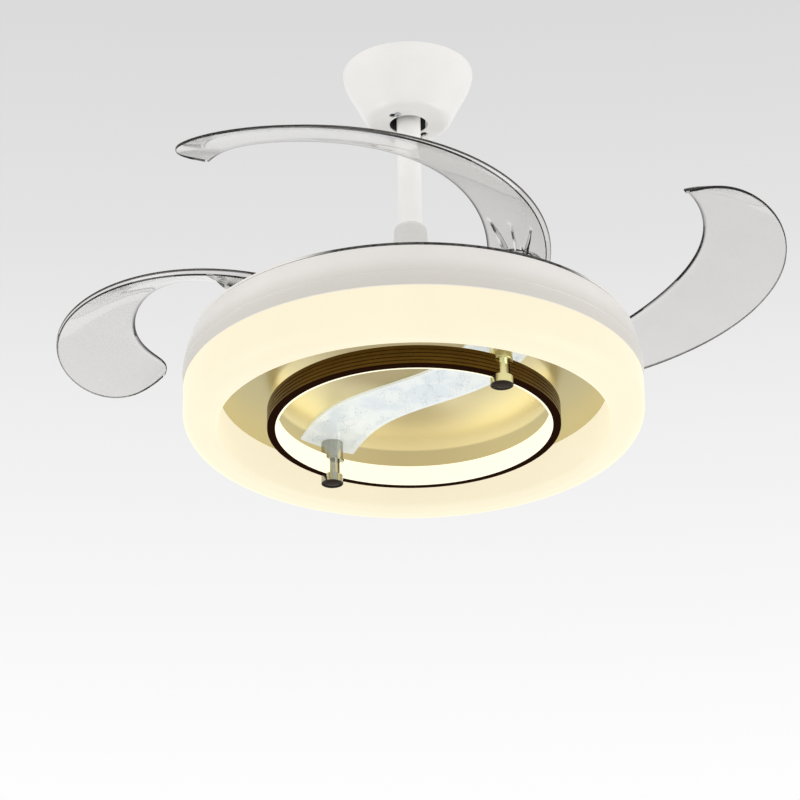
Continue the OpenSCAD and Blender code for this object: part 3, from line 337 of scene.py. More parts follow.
class Tree:
    """The node tree of a material or a world while it is put together."""

    def __init__(self, owner: bpy.types.ID, coordinates: str) -> None:
        """Empties the tree and takes up its coordinates.

        Args:
            owner: The material or world.
            coordinates: The output of Texture Coordinate for its patterns.
        """
        owner.use_nodes = True
        self.tree = owner.node_tree
        self.tree.nodes.clear()
        self.place = self.add("ShaderNodeTexCoord").outputs[coordinates]

    def add(self, kind: str, **settings: object) -> bpy.types.Node:
        """Adds a node.

        Args:
            kind: The node's type.
            settings: The node's own properties.

        Returns:
            The node.
        """
        node = self.tree.nodes.new(kind)
        for key, value in settings.items():
            setattr(node, key, value)
        return node

    def join(self, source: Socket, target: Socket) -> None:
        """Links one socket to another."""
        self.tree.links.new(source, target)

    def feed(self, target: Socket, value: object) -> None:
        """Links a socket to the target, or sets the target's value.

        Args:
            target: The input.
            value: The output to link, or a value; a colour gets its alpha.
        """
        if isinstance(value, Socket):
            self.join(value, target)
        elif isinstance(value, tuple) and len(value) == 3:
            target.default_value = (*value, 1.0)
        else:
            target.default_value = value

    def maths(self, kind: str, a: object, b: object = 0.0) -> Socket:
        """Works out one Math node.

        Args:
            kind: Its operation.
            a: Its first value or source.
            b: Its second one, where it takes two.

        Returns:
            The result.
        """
        node = self.add("ShaderNodeMath", operation=kind)
        self.feed(node.inputs[0], a)
        self.feed(node.inputs[1], b)
        return node.outputs["Value"]

    def span(
        self,
        value: Socket,
        low: float,
        high: float,
        a: float = 0.0,
        b: float = 1.0,
        kind: str = "SMOOTHSTEP",
    ) -> Socket:
        """Maps a value from low..high to a..b, clamped.

        Args:
            value: The value.
            low: Where the result is a.
            high: Where the result is b.
            a: The result at low.
            b: The result at high.
            kind: How the result goes from a to b.

        Returns:
            The mapped value.
        """
        node = self.add("ShaderNodeMapRange", interpolation_type=kind)
        self.join(value, node.inputs["Value"])
        names = ("From Min", "From Max", "To Min", "To Max")
        for name, number in zip(names, (low, high, a, b)):
            node.inputs[name].default_value = number
        return node.outputs["Result"]

    def ramp(self, value: Socket, stops: list[tuple[float, Colour]]) -> Socket:
        """Turns a value into a colour.

        Args:
            value: The value, 0 to 1.
            stops: Places and the linear colours at them.

        Returns:
            The colour.
        """
        node = self.add("ShaderNodeValToRGB")
        self.join(value, node.inputs["Fac"])
        elements = node.color_ramp.elements
        while len(elements) < len(stops):
            elements.new(0.5)
        for element, (at, _) in zip(elements, stops):
            element.position = at
        for element, (_, colour) in zip(elements, stops):
            element.color = (*colour, 1)
        return node.outputs["Color"]

    def part(self, axis: str, vector: Socket | None = None) -> Socket:
        """Gives one of the coordinates X, Y or Z, or of another vector."""
        node = self.add("ShaderNodeSeparateXYZ")
        self.join(vector or self.place, node.inputs["Vector"])
        return node.outputs[axis]


class Bench(Tree):
    """A material's tree, with a Principled shader and object coordinates."""

    def __init__(self, name: str) -> None:
        """Starts the material.

        Args:
            name: The material's name.
        """
        self.material = bpy.data.materials.new(name)
        super().__init__(self.material, "Object")
        self.shader = self.add("ShaderNodeBsdfPrincipled")
        out = self.add("ShaderNodeOutputMaterial")
        self.join(self.shader.outputs["BSDF"], out.inputs["Surface"])

    def surface(self, **values: object) -> None:
        """Sets the shader's sockets, named with _ for each space.

        Args:
            values: Socket names in lower case and their value or source.
        """
        names = {s.name.lower().replace(" ", "_"): s for s in self.shader.inputs}
        for key, value in values.items():
            self.feed(names[key], value)

    def stretched(self, scale: Colour) -> Socket:
        """Stretches the object coordinates.

        Args:
            scale: The factor for each axis.

        Returns:
            The coordinates times their factors.
        """
        node = self.add("ShaderNodeMapping")
        self.join(self.place, node.inputs["Vector"])
        node.inputs["Scale"].default_value = scale
        return node.outputs["Vector"]

    def noise(
        self,
        size: float,
        detail: float = 3.0,
        stretch: Colour = (1, 1, 1),
        vector: Socket | None = None,
    ) -> Socket:
        """Gives a cloudy pattern.

        Args:
            size: Size of a cloud in metres.
            detail: Number of finer layers.
            stretch: Scale along the axes before the pattern.
            vector: Coordinates to use in place of the object's own.

        Returns:
            The pattern's value, 0 to 1.
        """
        node = self.add("ShaderNodeTexNoise")
        self.join(vector or self.stretched(stretch), node.inputs["Vector"])
        node.inputs["Scale"].default_value = 1 / size
        node.inputs["Detail"].default_value = detail
        return node.outputs["Fac"]

    def radius(self) -> Socket:
        """Gives the distance from the fan's axis, the root of x^2 + y^2."""
        x, y = self.part("X"), self.part("Y")
        squares = self.maths("MULTIPLY", x, x), self.maths("MULTIPLY", y, y)
        return self.maths("SQRT", self.maths("ADD", *squares))

    def rings(self, size: float, detail: float) -> Socket:
        """Gives the marks of a lathe: noise that goes with the radius only."""
        place = self.add("ShaderNodeCombineXYZ")
        self.join(self.radius(), place.inputs["X"])
        return self.noise(size, detail, vector=place.outputs["Vector"])

    def clouded(
        self,
        pattern: Socket,
        colour: Colour,
        dark: float,
        light: float,
        high: float = CLOUD[1],
    ) -> Socket:
        """Shades a colour by a pattern.

        Args:
            pattern: The pattern.
            colour: The colour.
            dark: Its factor where the pattern is low.
            light: Its factor where the pattern is high.
            high: From which value on the pattern counts as high.

        Returns:
            The colour's shades.
        """
        tones = shade(colour, dark), shade(colour, light)
        return self.ramp(pattern, list(zip((CLOUD[0], high), tones)))

    def below(self, top: float, fade: float) -> Socket:
        """Gives 1 below a height less the fade, and 0 above the height."""
        return self.span(self.part("Z"), top - fade, top, 1.0, 0.0)

    def mix(self, share: object, a: object, b: object) -> Socket:
        """Mixes two colours.

        Args:
            share: The share of b.
            a: The first colour or source.
            b: The second one.

        Returns:
            The mixed colour.
        """
        node = self.add("ShaderNodeMix", data_type="RGBA")
        for k, value in ((0, share), (6, a), (7, b)):
            self.feed(node.inputs[k], value)
        return node.outputs[2]

    def mark(self, name: str) -> Socket:
        """Gives a point attribute of the mesh."""
        return self.add("ShaderNodeAttribute", attribute_name=name).outputs["Fac"]

    def bump(self, height: Socket, depth: float) -> None:
        """Raises the surface.

        Args:
            height: The pattern.
            depth: What a height of 1 raises, in metres.
        """
        node = self.add("ShaderNodeBump")
        self.join(height, node.inputs["Height"])
        node.inputs["Strength"].default_value = 1.0
        node.inputs["Distance"].default_value = depth
        self.join(node.outputs["Normal"], self.shader.inputs["Normal"])


@dataclass(frozen=True)
class Finish:
    """One look, which lays its nodes on a bench."""

    def lay(self, bench: Bench) -> None:
        """Lays the nodes; each kind of finish has its own way."""
        raise NotImplementedError

    def build(self, name: str) -> bpy.types.Material:
        """Makes the material of this name."""
        bench = Bench(name)
        self.lay(bench)
        return bench.material


@dataclass(frozen=True)
class Paint(Finish):
    """Sprayed or moulded opaque skin with a fine orange peel and faint clouds.

    Where there is a band, its colour takes over below the band's top, as painted shade.
    """

    colour: Colour
    gloss: float = 0.35
    peel: float = 1.4 * MM
    depth: float = 0.010 * MM
    cloud: float = 0.02
    coat: float = 0.0
    specular: float = 0.5
    band: Colour | None = None
    band_top: float = 0.0
    shade_band_fade: float = 0.0
    cloud_size: float = 60 * MM
    wear_size: float = 9 * MM
    coat_gloss: float = 0.12

    def lay(self, bench: Bench) -> None:
        """Lays clouds, band, wear and peel.

        Args:
            bench: Where the nodes are laid.
        """
        clouds = bench.noise(self.cloud_size, 4)
        colour = bench.clouded(clouds, self.colour, 1 - self.cloud, 1 + self.cloud)
        # painted shade: below the band's top the darker band colour fades in
        if self.band:
            below = bench.below(self.band_top, self.shade_band_fade)
            colour = bench.mix(below, colour, self.band)
        worn = bench.noise(self.wear_size, 5)
        wear = bench.span(worn, 0.35, 0.7, self.gloss * 0.85, self.gloss * 1.2)
        bench.surface(base_color=colour, roughness=wear)
        bench.surface(coat_weight=self.coat, coat_roughness=self.coat_gloss)
        bench.surface(specular_ior_level=self.specular)
        bench.bump(bench.noise(self.peel, 2), self.depth)


class Grain(Enum):
    """How a metal surface was worked."""

    SPUN = "turned about the fan's axis"
    DRAWN = "drawn along z"
    CAST = "cast, with a fine skin"
    POLISHED = "polished"


@dataclass(frozen=True)
class Metal(Finish):
    """Bare or plated metal with the marks of how it was worked.

    Towards +x it warms to the colour right, where there is one, as a painted
    reflection, and below foot_top the colour foot takes over.
    """

    colour: Colour
    gloss: float = 0.3
    grain: Grain = Grain.POLISHED
    depth: float = 0.006 * MM
    stain: float = 0.06
    right: Colour | None = None
    foot: Colour | None = None
    foot_top: float = 0.0
    stain_size: float = 35 * MM
    side: float = 60 * MM
    foot_fade: float = 0.1 * MM

    def lines(self, bench: Bench) -> Socket:
        """Gives the height pattern of the grain.

        Args:
            bench: Where the nodes are laid.

        Returns:
            The pattern.
        """
        if self.grain is Grain.SPUN:
            return bench.rings(0.7 * MM, 4)
        if self.grain is Grain.DRAWN:
            return bench.noise(0.6 * MM, 3, (1, 1, 0.02))
        return bench.noise(1.6 * MM if self.grain is Grain.CAST else 4 * MM)

    def lay(self, bench: Bench) -> None:
        """Lays stains, warmth, foot, wear and grain.

        Args:
            bench: Where the nodes are laid.
        """
        lines = self.lines(bench)
        stains = bench.noise(self.stain_size, 5)
        light = 1 + self.stain / 2
        colour = bench.clouded(stains, self.colour, 1 - self.stain, light, 0.75)
        # painted reflection: the colour warms towards +x
        if self.right:
            side = bench.span(bench.part("X"), -self.side, self.side)
            colour = bench.mix(side, colour, self.right)
        if self.foot:
            below = bench.below(self.foot_top, self.foot_fade)
            colour = bench.mix(below, colour, self.foot)
        wear = bench.span(lines, *CLOUD, self.gloss * 0.8, self.gloss * 1.25)
        bench.surface(base_color=colour, roughness=wear, metallic=1.0)
        bench.bump(lines, self.depth)


@dataclass(frozen=True)
class SpunGold(Finish):
    """The plate's satin gold: rings from the lathe and soft cones of sheen.

    The sheen is painted: cone cos(2 (angle + lean)) + line times the lathe's marks +
    back sin(angle) + a part that grows outwards from inner to outer. Outside
    a set radius the colours are darker by a factor, as painted shade.
    """

    colour: Colour = tone(226, 213, 168)
    light: Colour = tone(252, 240, 187)
    dark: Colour = tone(192, 177, 132)
    outer_shade: float = 0.67
    outer_shade_r: float = 150 * MM
    outer_shade_fade: float = 6 * MM
    gloss: float = 0.36
    depth: float = 0.004 * MM
    lean: float = -0.05
    cone: float = 0.35
    line: float = 0.2
    back: float = 0.35
    inner: Spot = (60 * MM, -0.35)
    outer: Spot = (135 * MM, 0.1)
    limits: Spot = (-0.4, 0.55)

    def sheen(self, bench: Bench, lines: Socket) -> Socket:
        """Gives the sheen of each place.

        Args:
            bench: Where the nodes are laid.
            lines: The lathe's marks.

        Returns:
            The sheen, mapped from its limits to 0 to 1.
        """
        angle = bench.maths("ARCTAN2", bench.part("Y"), bench.part("X"))
        twice = bench.maths("MULTIPLY", bench.maths("ADD", angle, self.lean), 2.0)
        (r0, least), (r1, most) = self.inner, self.outer
        total = bench.span(bench.radius(), r0, r1, least, most)
        for pattern, gain in (
            (bench.maths("COSINE", twice), self.cone),
            (lines, self.line),
            (bench.maths("SINE", angle), self.back),
        ):
            total = bench.maths("ADD", total, bench.maths("MULTIPLY", pattern, gain))
        return bench.span(total, *self.limits)

    def lay(self, bench: Bench) -> None:
        """Lays sheen, border, wear and the lathe's marks.

        Args:
            bench: Where the nodes are laid.
        """
        lines = bench.rings(0.8 * MM, 5)
        share = self.sheen(bench, lines)
        # painted sheen: the tones run from dark to light as the sheen rises
        places, tones = (0.0, 0.5, 1.0), (self.dark, self.colour, self.light)
        # painted shade: darker tones outside the hoop
        shaded_tones = [shade(c, self.outer_shade) for c in tones]
        centre = bench.ramp(share, list(zip(places, tones)))
        outside = bench.ramp(share, list(zip(places, shaded_tones)))
        end = self.outer_shade_r + self.outer_shade_fade
        zone = bench.span(bench.radius(), self.outer_shade_r, end)
        wear = bench.span(lines, *CLOUD, self.gloss * 0.85, self.gloss * 1.15)
        bench.surface(base_color=bench.mix(zone, centre, outside))
        bench.surface(roughness=wear, metallic=1.0)
        bench.bump(lines, self.depth)


@dataclass(frozen=True)
class Bronze(Finish):
    """The hoop's bronze: brown-gold flank, nearly black rim and pale top web."""

    flank: Colour = tone(94, 71, 29)
    rim: Colour = tone(33, 17, 8)
    # painted light: the top web is pale, so the plate's reflection of it is bright
    web: Colour = tone(222, 206, 150)
    rim_top: float = -443.8 * MM
    rim_fade: float = 0.3 * MM
    web_z: float = -423.1 * MM
    web_fade: float = 0.2 * MM
    gloss: Spot = (0.24, 0.38)
    metal: float = 0.9

    def lay(self, bench: Bench) -> None:
        """Lays the rim's colour below rim_top and the web's above web_z.

        Args:
            bench: Where the nodes are laid.
        """
        rings = bench.noise(0.5 * MM, 3, (0.02, 0.02, 1))
        brown = bench.clouded(bench.noise(25 * MM, 4), self.flank, 0.85, 1.1)
        z = bench.part("Z")
        height = bench.span(z, self.rim_top, self.rim_top + self.rim_fade)
        above = bench.span(z, self.web_z - self.web_fade, self.web_z)
        # painted light: pale above the web's height
        colour = bench.mix(above, bench.mix(height, self.rim, brown), self.web)
        wear = bench.span(rings, *CLOUD, *self.gloss)
        metal = bench.maths("MULTIPLY", height, self.metal)
        bench.surface(base_color=colour, roughness=wear, metallic=metal)
        bench.surface(specular_ior_level=0.0)
        bench.bump(rings, 0.008 * MM)


@dataclass(frozen=True)
class Lit(Finish):
    """Opal plastic with a light behind it."""

    body: Colour
    glow: Colour
    strength: float
    frost: float = 0.45
    specular: float = 0.35

    def lay(self, bench: Bench) -> None:
        """Lays body and glow, with the faint clouds of opal plastic.

        Args:
            bench: Where the nodes are laid.
        """
        clouds = bench.noise(80 * MM)
        glow = bench.clouded(clouds, self.glow, 0.97, 1.0)
        body = bench.clouded(clouds, self.body, 0.98, 1.0)
        bench.surface(base_color=body, roughness=self.frost)
        bench.surface(specular_ior_level=self.specular)
        bench.surface(emission_color=glow, emission_strength=self.strength)
        bench.bump(bench.noise(0.9 * MM, 2), 0.004 * MM)


@dataclass(frozen=True)
class Clear(Finish):
    """Clear moulded plastic: its flow makes faint waves, its skin has scuffs.

    Where it has an edge colour, that painted shade gathers as the rim mark goes to 1.
    """

    body: Colour
    edge: Colour | None = None
    gloss: float = 0.04
    scuffed: float = 1.6
    scuffs: Spot = (0.5, 0.75)
    scuff_size: float = 16 * MM
    scuff_detail: float = 4
    flow_size: float = 45 * MM
    flow_dark: float = 0.985
    wave: float = 0.004 * MM
    ior: float = 1.47

    def lay(self, bench: Bench) -> None:
        """Lays the flow, the dark edges and the scuffs.

        Args:
            bench: Where the nodes are laid.
        """
        flow = bench.noise(self.flow_size, 2)
        colour = bench.clouded(flow, self.body, self.flow_dark, 1.01)
        # painted shade: the edges darken along the rim mark
        if self.edge:
            share = bench.span(bench.mark("rim"), 0.05, 0.95)
            colour = bench.mix(share, colour, self.edge)
        scuffs = bench.noise(self.scuff_size, self.scuff_detail)
        rough = self.gloss, self.gloss * self.scuffed
        wear = bench.span(scuffs, *self.scuffs, *rough)
        bench.surface(base_color=colour, roughness=wear)
        bench.surface(ior=self.ior, transmission_weight=1.0)
        bench.bump(flow, self.wave)


@dataclass(frozen=True)
class ClearSheet(Clear):
    """Clear plastic of a flat sheet, with finer scuffs and deeper waves."""

    gloss: float = 0.08
    scuffed: float = 2.5
    scuffs: Spot = (0.45, 0.75)
    scuff_size: float = 7 * MM
    scuff_detail: float = 6
    flow_size: float = 50 * MM
    flow_dark: float = 0.98
    wave: float = 0.02 * MM


@dataclass(frozen=True)
class TurnedEdge(Finish):
    """The tray's turned edge: dark in front and behind, pale at the sides.

    The dark share is painted shade. It fades in over the range left of the edge
    normal's x and fades out over the range right.
    """

    pale: Colour
    dark: Colour
    left: Spot = (-0.5, -0.3)
    right: Spot = (0.64, 0.8)
    gloss: Spot = (0.28, 0.36)
    specular: float = 0.3

    def lay(self, bench: Bench) -> None:
        """Lays the dark share and the turned skin.

        Args:
            bench: Where the nodes are laid.
        """
        # painted shade: the edge is dark where it faces front or back
        normal = bench.add("ShaderNodeNewGeometry").outputs["Normal"]
        aside = bench.part("X", normal)
        left = bench.span(aside, *self.left)
        right = bench.span(aside, *self.right, 1.0, 0.0)
        marks = bench.span(bench.noise(5 * MM), *CLOUD, 0.9, 1.0)
        both = bench.maths("MULTIPLY", left, right)
        share = bench.maths("MULTIPLY", both, marks)
        wear = bench.span(bench.noise(2 * MM, 2), *CLOUD, *self.gloss)
        bench.surface(base_color=bench.mix(share, self.pale, self.dark))
        bench.surface(roughness=wear, specular_ior_level=self.specular)


@dataclass(frozen=True)
class Engraved(Finish):
    """Clear acrylic with an engraved, edge-lit pattern of fine dashes."""

    body: Colour = tone(238, 243, 243)
    tint: Colour = tone(227, 234, 238)
    dash: Colour = tone(166, 176, 184)
    strength: float = 0.12
    gloss: float = 0.16
    ior: float = 1.49
    through: float = 0.25
    cell: float = 1.3 * MM
    depth: float = 0.03 * MM
    patches: Spot = (0.42, 0.6)

    def lay(self, bench: Bench) -> None:
        """Lays the engraving.

        Cool patches lie under clusters of dark dashes, which are stretched
        cells on the object's place; towards the edges both fade. The faint
        glow in the acrylic's own colours is painted light.

        Args:
            bench: Where the nodes are laid.
        """
        inside = bench.span(bench.mark("rim"), 0.0, 1.0, 1.0, 0.0)
        patch = bench.span(bench.noise(26 * MM, 1), *self.patches)
        cells = bench.add("ShaderNodeTexVoronoi", feature="F1")
        bench.join(bench.stretched((1.0, 0.6, 1.0)), cells.inputs["Vector"])
        cells.inputs["Scale"].default_value = 1 / self.cell
        dash = bench.span(cells.outputs["Distance"], 0.2, 0.4, 1.0, 0.0)
        groups = bench.noise(16 * MM, 3, (1.6, 0.5, 1.0))
        cluster = bench.span(groups, *self.patches)
        cut = bench.maths("MULTIPLY", bench.maths("MULTIPLY", dash, cluster), inside)
        cool = bench.maths("MULTIPLY", patch, inside)
        skin = bench.mix(cut, bench.mix(cool, self.body, self.tint), self.dash)
        bench.surface(base_color=skin, roughness=self.gloss, ior=self.ior)
        bench.surface(transmission_weight=self.through)
        # painted light: the band glows faintly in its own colours
        bench.surface(emission_color=skin, emission_strength=self.strength)
        bench.bump(dash, self.depth)


WHITE_WARM = tone(243, 240, 236)
DRUM_WHITE = tone(238, 235, 231)
CHROME = tone(178, 178, 168)
# A warmer plating tone towards +x is a painted reflection.
PAINTED_REFLECTION_CHROME = tone(234, 234, 196)
PLATED = (CHROME, 0.2, Grain.DRAWN, 0.001 * MM, 0.05, PAINTED_REFLECTION_CHROME)

FINISHES: dict[str, Finish] = {
    "white_steel": Paint(WHITE_WARM, 0.32, coat=0.2),
    # The canopy and rod get lit copies and the coupling cover a shaded copy of the
    # white paint: painted light and shade.
    "canopy_white": Paint(tone(247, 245, 242), 0.34, coat=0.15),
    "rod_white": Paint(tone(253, 252, 249), 0.34, coat=0.15),
    "cover_white": Paint(tone(227, 226, 222), 0.34, coat=0.15),
    # The drum is darker towards its foot: its band is painted shade.
    "drum_white": Paint(
        DRUM_WHITE,
        0.34,
        coat=0.15,
        band=tone(214, 211, 204),
        band_top=-362 * MM,
        shade_band_fade=32 * MM,
    ),
    "black_steel": Paint(
        tone(38, 38, 40), 0.5, 1.2 * MM, 0.012 * MM, 0.1, specular=0.3
    ),
    "white_plastic": Paint(WHITE_WARM, 0.38, 2.2 * MM, 0.006 * MM, coat=0.1),
    "galvanised": Metal(tone(176, 180, 184), 0.42, Grain.CAST, stain=0.16),
    "bright_steel": Metal(tone(196, 198, 202), 0.22, Grain.SPUN),
    "cast_alloy": Metal(tone(200, 200, 202), 0.46, Grain.CAST, 0.02 * MM),
    "lamination": Metal(tone(122, 124, 128), 0.4, Grain.CAST, 0.02 * MM, 0.15),
    "copper_wire": Metal(tone(198, 116, 64), 0.3, Grain.DRAWN, 0.03 * MM),
    "ferrite": Paint(tone(52, 52, 56), 0.6, 1.0 * MM, 0.02 * MM, 0.12),
    "opal": Lit(tone(110, 108, 100), tone(236, 226, 197), 1.0),
    "strip_opal": Lit(tone(110, 109, 104), tone(251, 244, 214), 1.12),
    "circuit_board": Paint(tone(226, 232, 226), 0.3, 3 * MM, 0.004 * MM),
    "led": Paint(tone(244, 214, 110), 0.3, 0.6 * MM, 0.01 * MM),
    "satin_gold": SpunGold(),
    "bronze": Bronze(),
    "gold_chrome": Metal(*PLATED),
    "cap_chrome": Metal(*PLATED, tone(26, 19, 17), -453.7 * MM),
    "dark_disc": Paint(tone(42, 31, 22), 0.22, 4 * MM, 0.004 * MM, 0.1, specular=0.04),
    # The crystal band's faint glow is painted light.
    "crystal": Engraved(),
    # The blades' dark edge colour is painted shade.
    "clear_blade": Clear(tone(236, 235, 233), tone(34, 32, 30)),
    "clear_tray": ClearSheet(tone(236, 236, 234)),
    # The tray edge's dark front and back are painted shade.
    "tray_edge": TurnedEdge(DRUM_WHITE, tone(26, 25, 24)),
    "nylon": Paint(tone(230, 226, 212), 0.45, 2 * MM, 0.01 * MM),
    "bush_brass": Metal(tone(190, 158, 96), 0.4, Grain.CAST),
    "rubber": Paint(tone(48, 48, 48), 0.75, 0.8 * MM, 0.02 * MM, 0.1, specular=0.3),
    "ball_nylon": Paint(tone(40, 40, 41), 0.5, 1.2 * MM, 0.012 * MM, 0.1),
    "grey_plastic": Paint(tone(214, 214, 210), 0.45, 1.5 * MM, 0.02 * MM),
}

# Nodes with a finish of their own: lit and shaded copies of the white paint, which are
# painted light and shade, the drum's paint with painted shade, and the caps' plating.
OWN_FINISH: dict[str, str] = {
    "canopy": "canopy_white",
    "downrod": "rod_white",
    "coupling_cover": "cover_white",
    "drum": "drum_white",
    "standoff_caps": "cap_chrome",
}


class Paintshop:
    """Makes each finish once and gives it to the pieces that ask for it."""

    def __init__(self, finishes: dict[str, Finish]) -> None:
        """Keeps the finishes; nothing is made before it is asked for."""
        self.finishes = finishes
        self.made: dict[str, bpy.types.Material] = {}

    def material(self, finish: str) -> bpy.types.Material:
        """Gives a finish's material, and makes it the first time."""
        if finish not in self.made:
            self.made[finish] = self.finishes[finish].build(f"{finish}_finish")
        return self.made[finish]

    def dress_node(self, name: str, node: bpy.types.Object) -> str:
        """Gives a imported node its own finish, or that of its material's slot.

        Args:
            name: The node's name.
            node: The node's object.

        Returns:
            The finish's name.
        """
        slot = node.material_slots[0].material.name.split(".")[0]
        finish = OWN_FINISH.get(name, slot)
        for place in node.material_slots:
            place.material = self.material(finish)
        return finish

    def dress(
        self, piece: bpy.types.Object, slot: str, finish: str | None = None
    ) -> None:
        """Gives a new piece a finish, by default that of its slot.

        Args:
            piece: The piece.
            slot: Its slot.
            finish: The finish, if it isn't the slot's own.
        """
        piece.data.materials.clear()
        piece.data.materials.append(self.material(finish or slot))


# ---------------------------------------------------------------- tray and blades


@dataclass
class Tray:
    """The clear disc under the blades, a hair above the carrier it lies on."""

    thickness: float = 2.0
    lift: float = 0.08
    outer_r: float = 242.7
    edge_r: float = 241.6
    gap: float = 0.05
    lip: float = 0.9
    inner_r: float = 60.0
    soft: float = 0.35
    hole_r: float = 14.0
    hole_sides: int = 64
    cut: float = 9.0
    sectors: int = 256
    crease: float = 35.0

    def hole(self, degrees: float) -> Shell:
        """Makes the upright plug that cuts one spindle's hole.

        Args:
            degrees: Direction of the spindle from the fan's axis.

        Returns:
            The plug.
        """
        a = math.radians(degrees)
        centre = (SPINDLE_R * math.cos(a), SPINDLE_R * math.sin(a))
        ends = TRAY_TOP - self.cut, TRAY_TOP + self.cut
        return plug(self.hole_r, self.hole_sides, centre, *ends)

    def disc(self) -> bpy.types.Mesh:
        """Makes the disc, a flat ring.

        Returns:
            The ring with a hole for each spindle.
        """
        low, high = TRAY_TOP - self.thickness + self.lift, TRAY_TOP
        r, wide = self.inner_r, self.edge_r - self.gap
        profile = np.array([[r, low], [wide, low], [wide, high], [r, high]])
        disc = lathe(profile, self.sectors).thing("disc")
        angles = [SPINDLE_ANGLE + 360 / BLADES * k for k in range(BLADES)]
        holes = [self.hole(a).thing(f"hole_{k}") for k, a in enumerate(angles)]
        return carved(disc, [("DIFFERENCE", hole) for hole in holes])

    def edge(self) -> Shell:
        """Turns the edge ring, whose two outer corners are rounded.

        Returns:
            The ring; its lip hangs towards the drum.
        """
        low, bend = TRAY_TOP - self.thickness - self.lip, self.soft
        wide = self.outer_r - bend
        lower = quarter(wide, low + bend, bend, -90, 4)
        upper = quarter(wide, TRAY_TOP - bend, bend, 0, 4)
        ends = [[self.edge_r, low]], [[self.edge_r, TRAY_TOP]]
        return lathe(np.concatenate([ends[0], lower, upper, ends[1]]), self.sectors)

    def build(self, shop: Paintshop) -> list[bpy.types.Object]:
        """Makes the tray: its disc and its turned edge.

        Args:
            shop: Where the finishes come from.

        Returns:
            The two pieces.
        """
        pieces = []
        for name, mesh, finish in (
            ("tray_disc", self.disc(), "clear_tray"),
            ("tray_edge", self.edge().mesh("edge"), "tray_edge"),
        ):
            mesh.transform(Matrix.Scale(MM, 4))
            piece = clear_piece(name, creased(mesh, self.crease))
            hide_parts("blade_tray")
            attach(piece, "rotor")
            shop.dress(piece, "clear_tray", finish)
            pieces.append(piece)
        return pieces


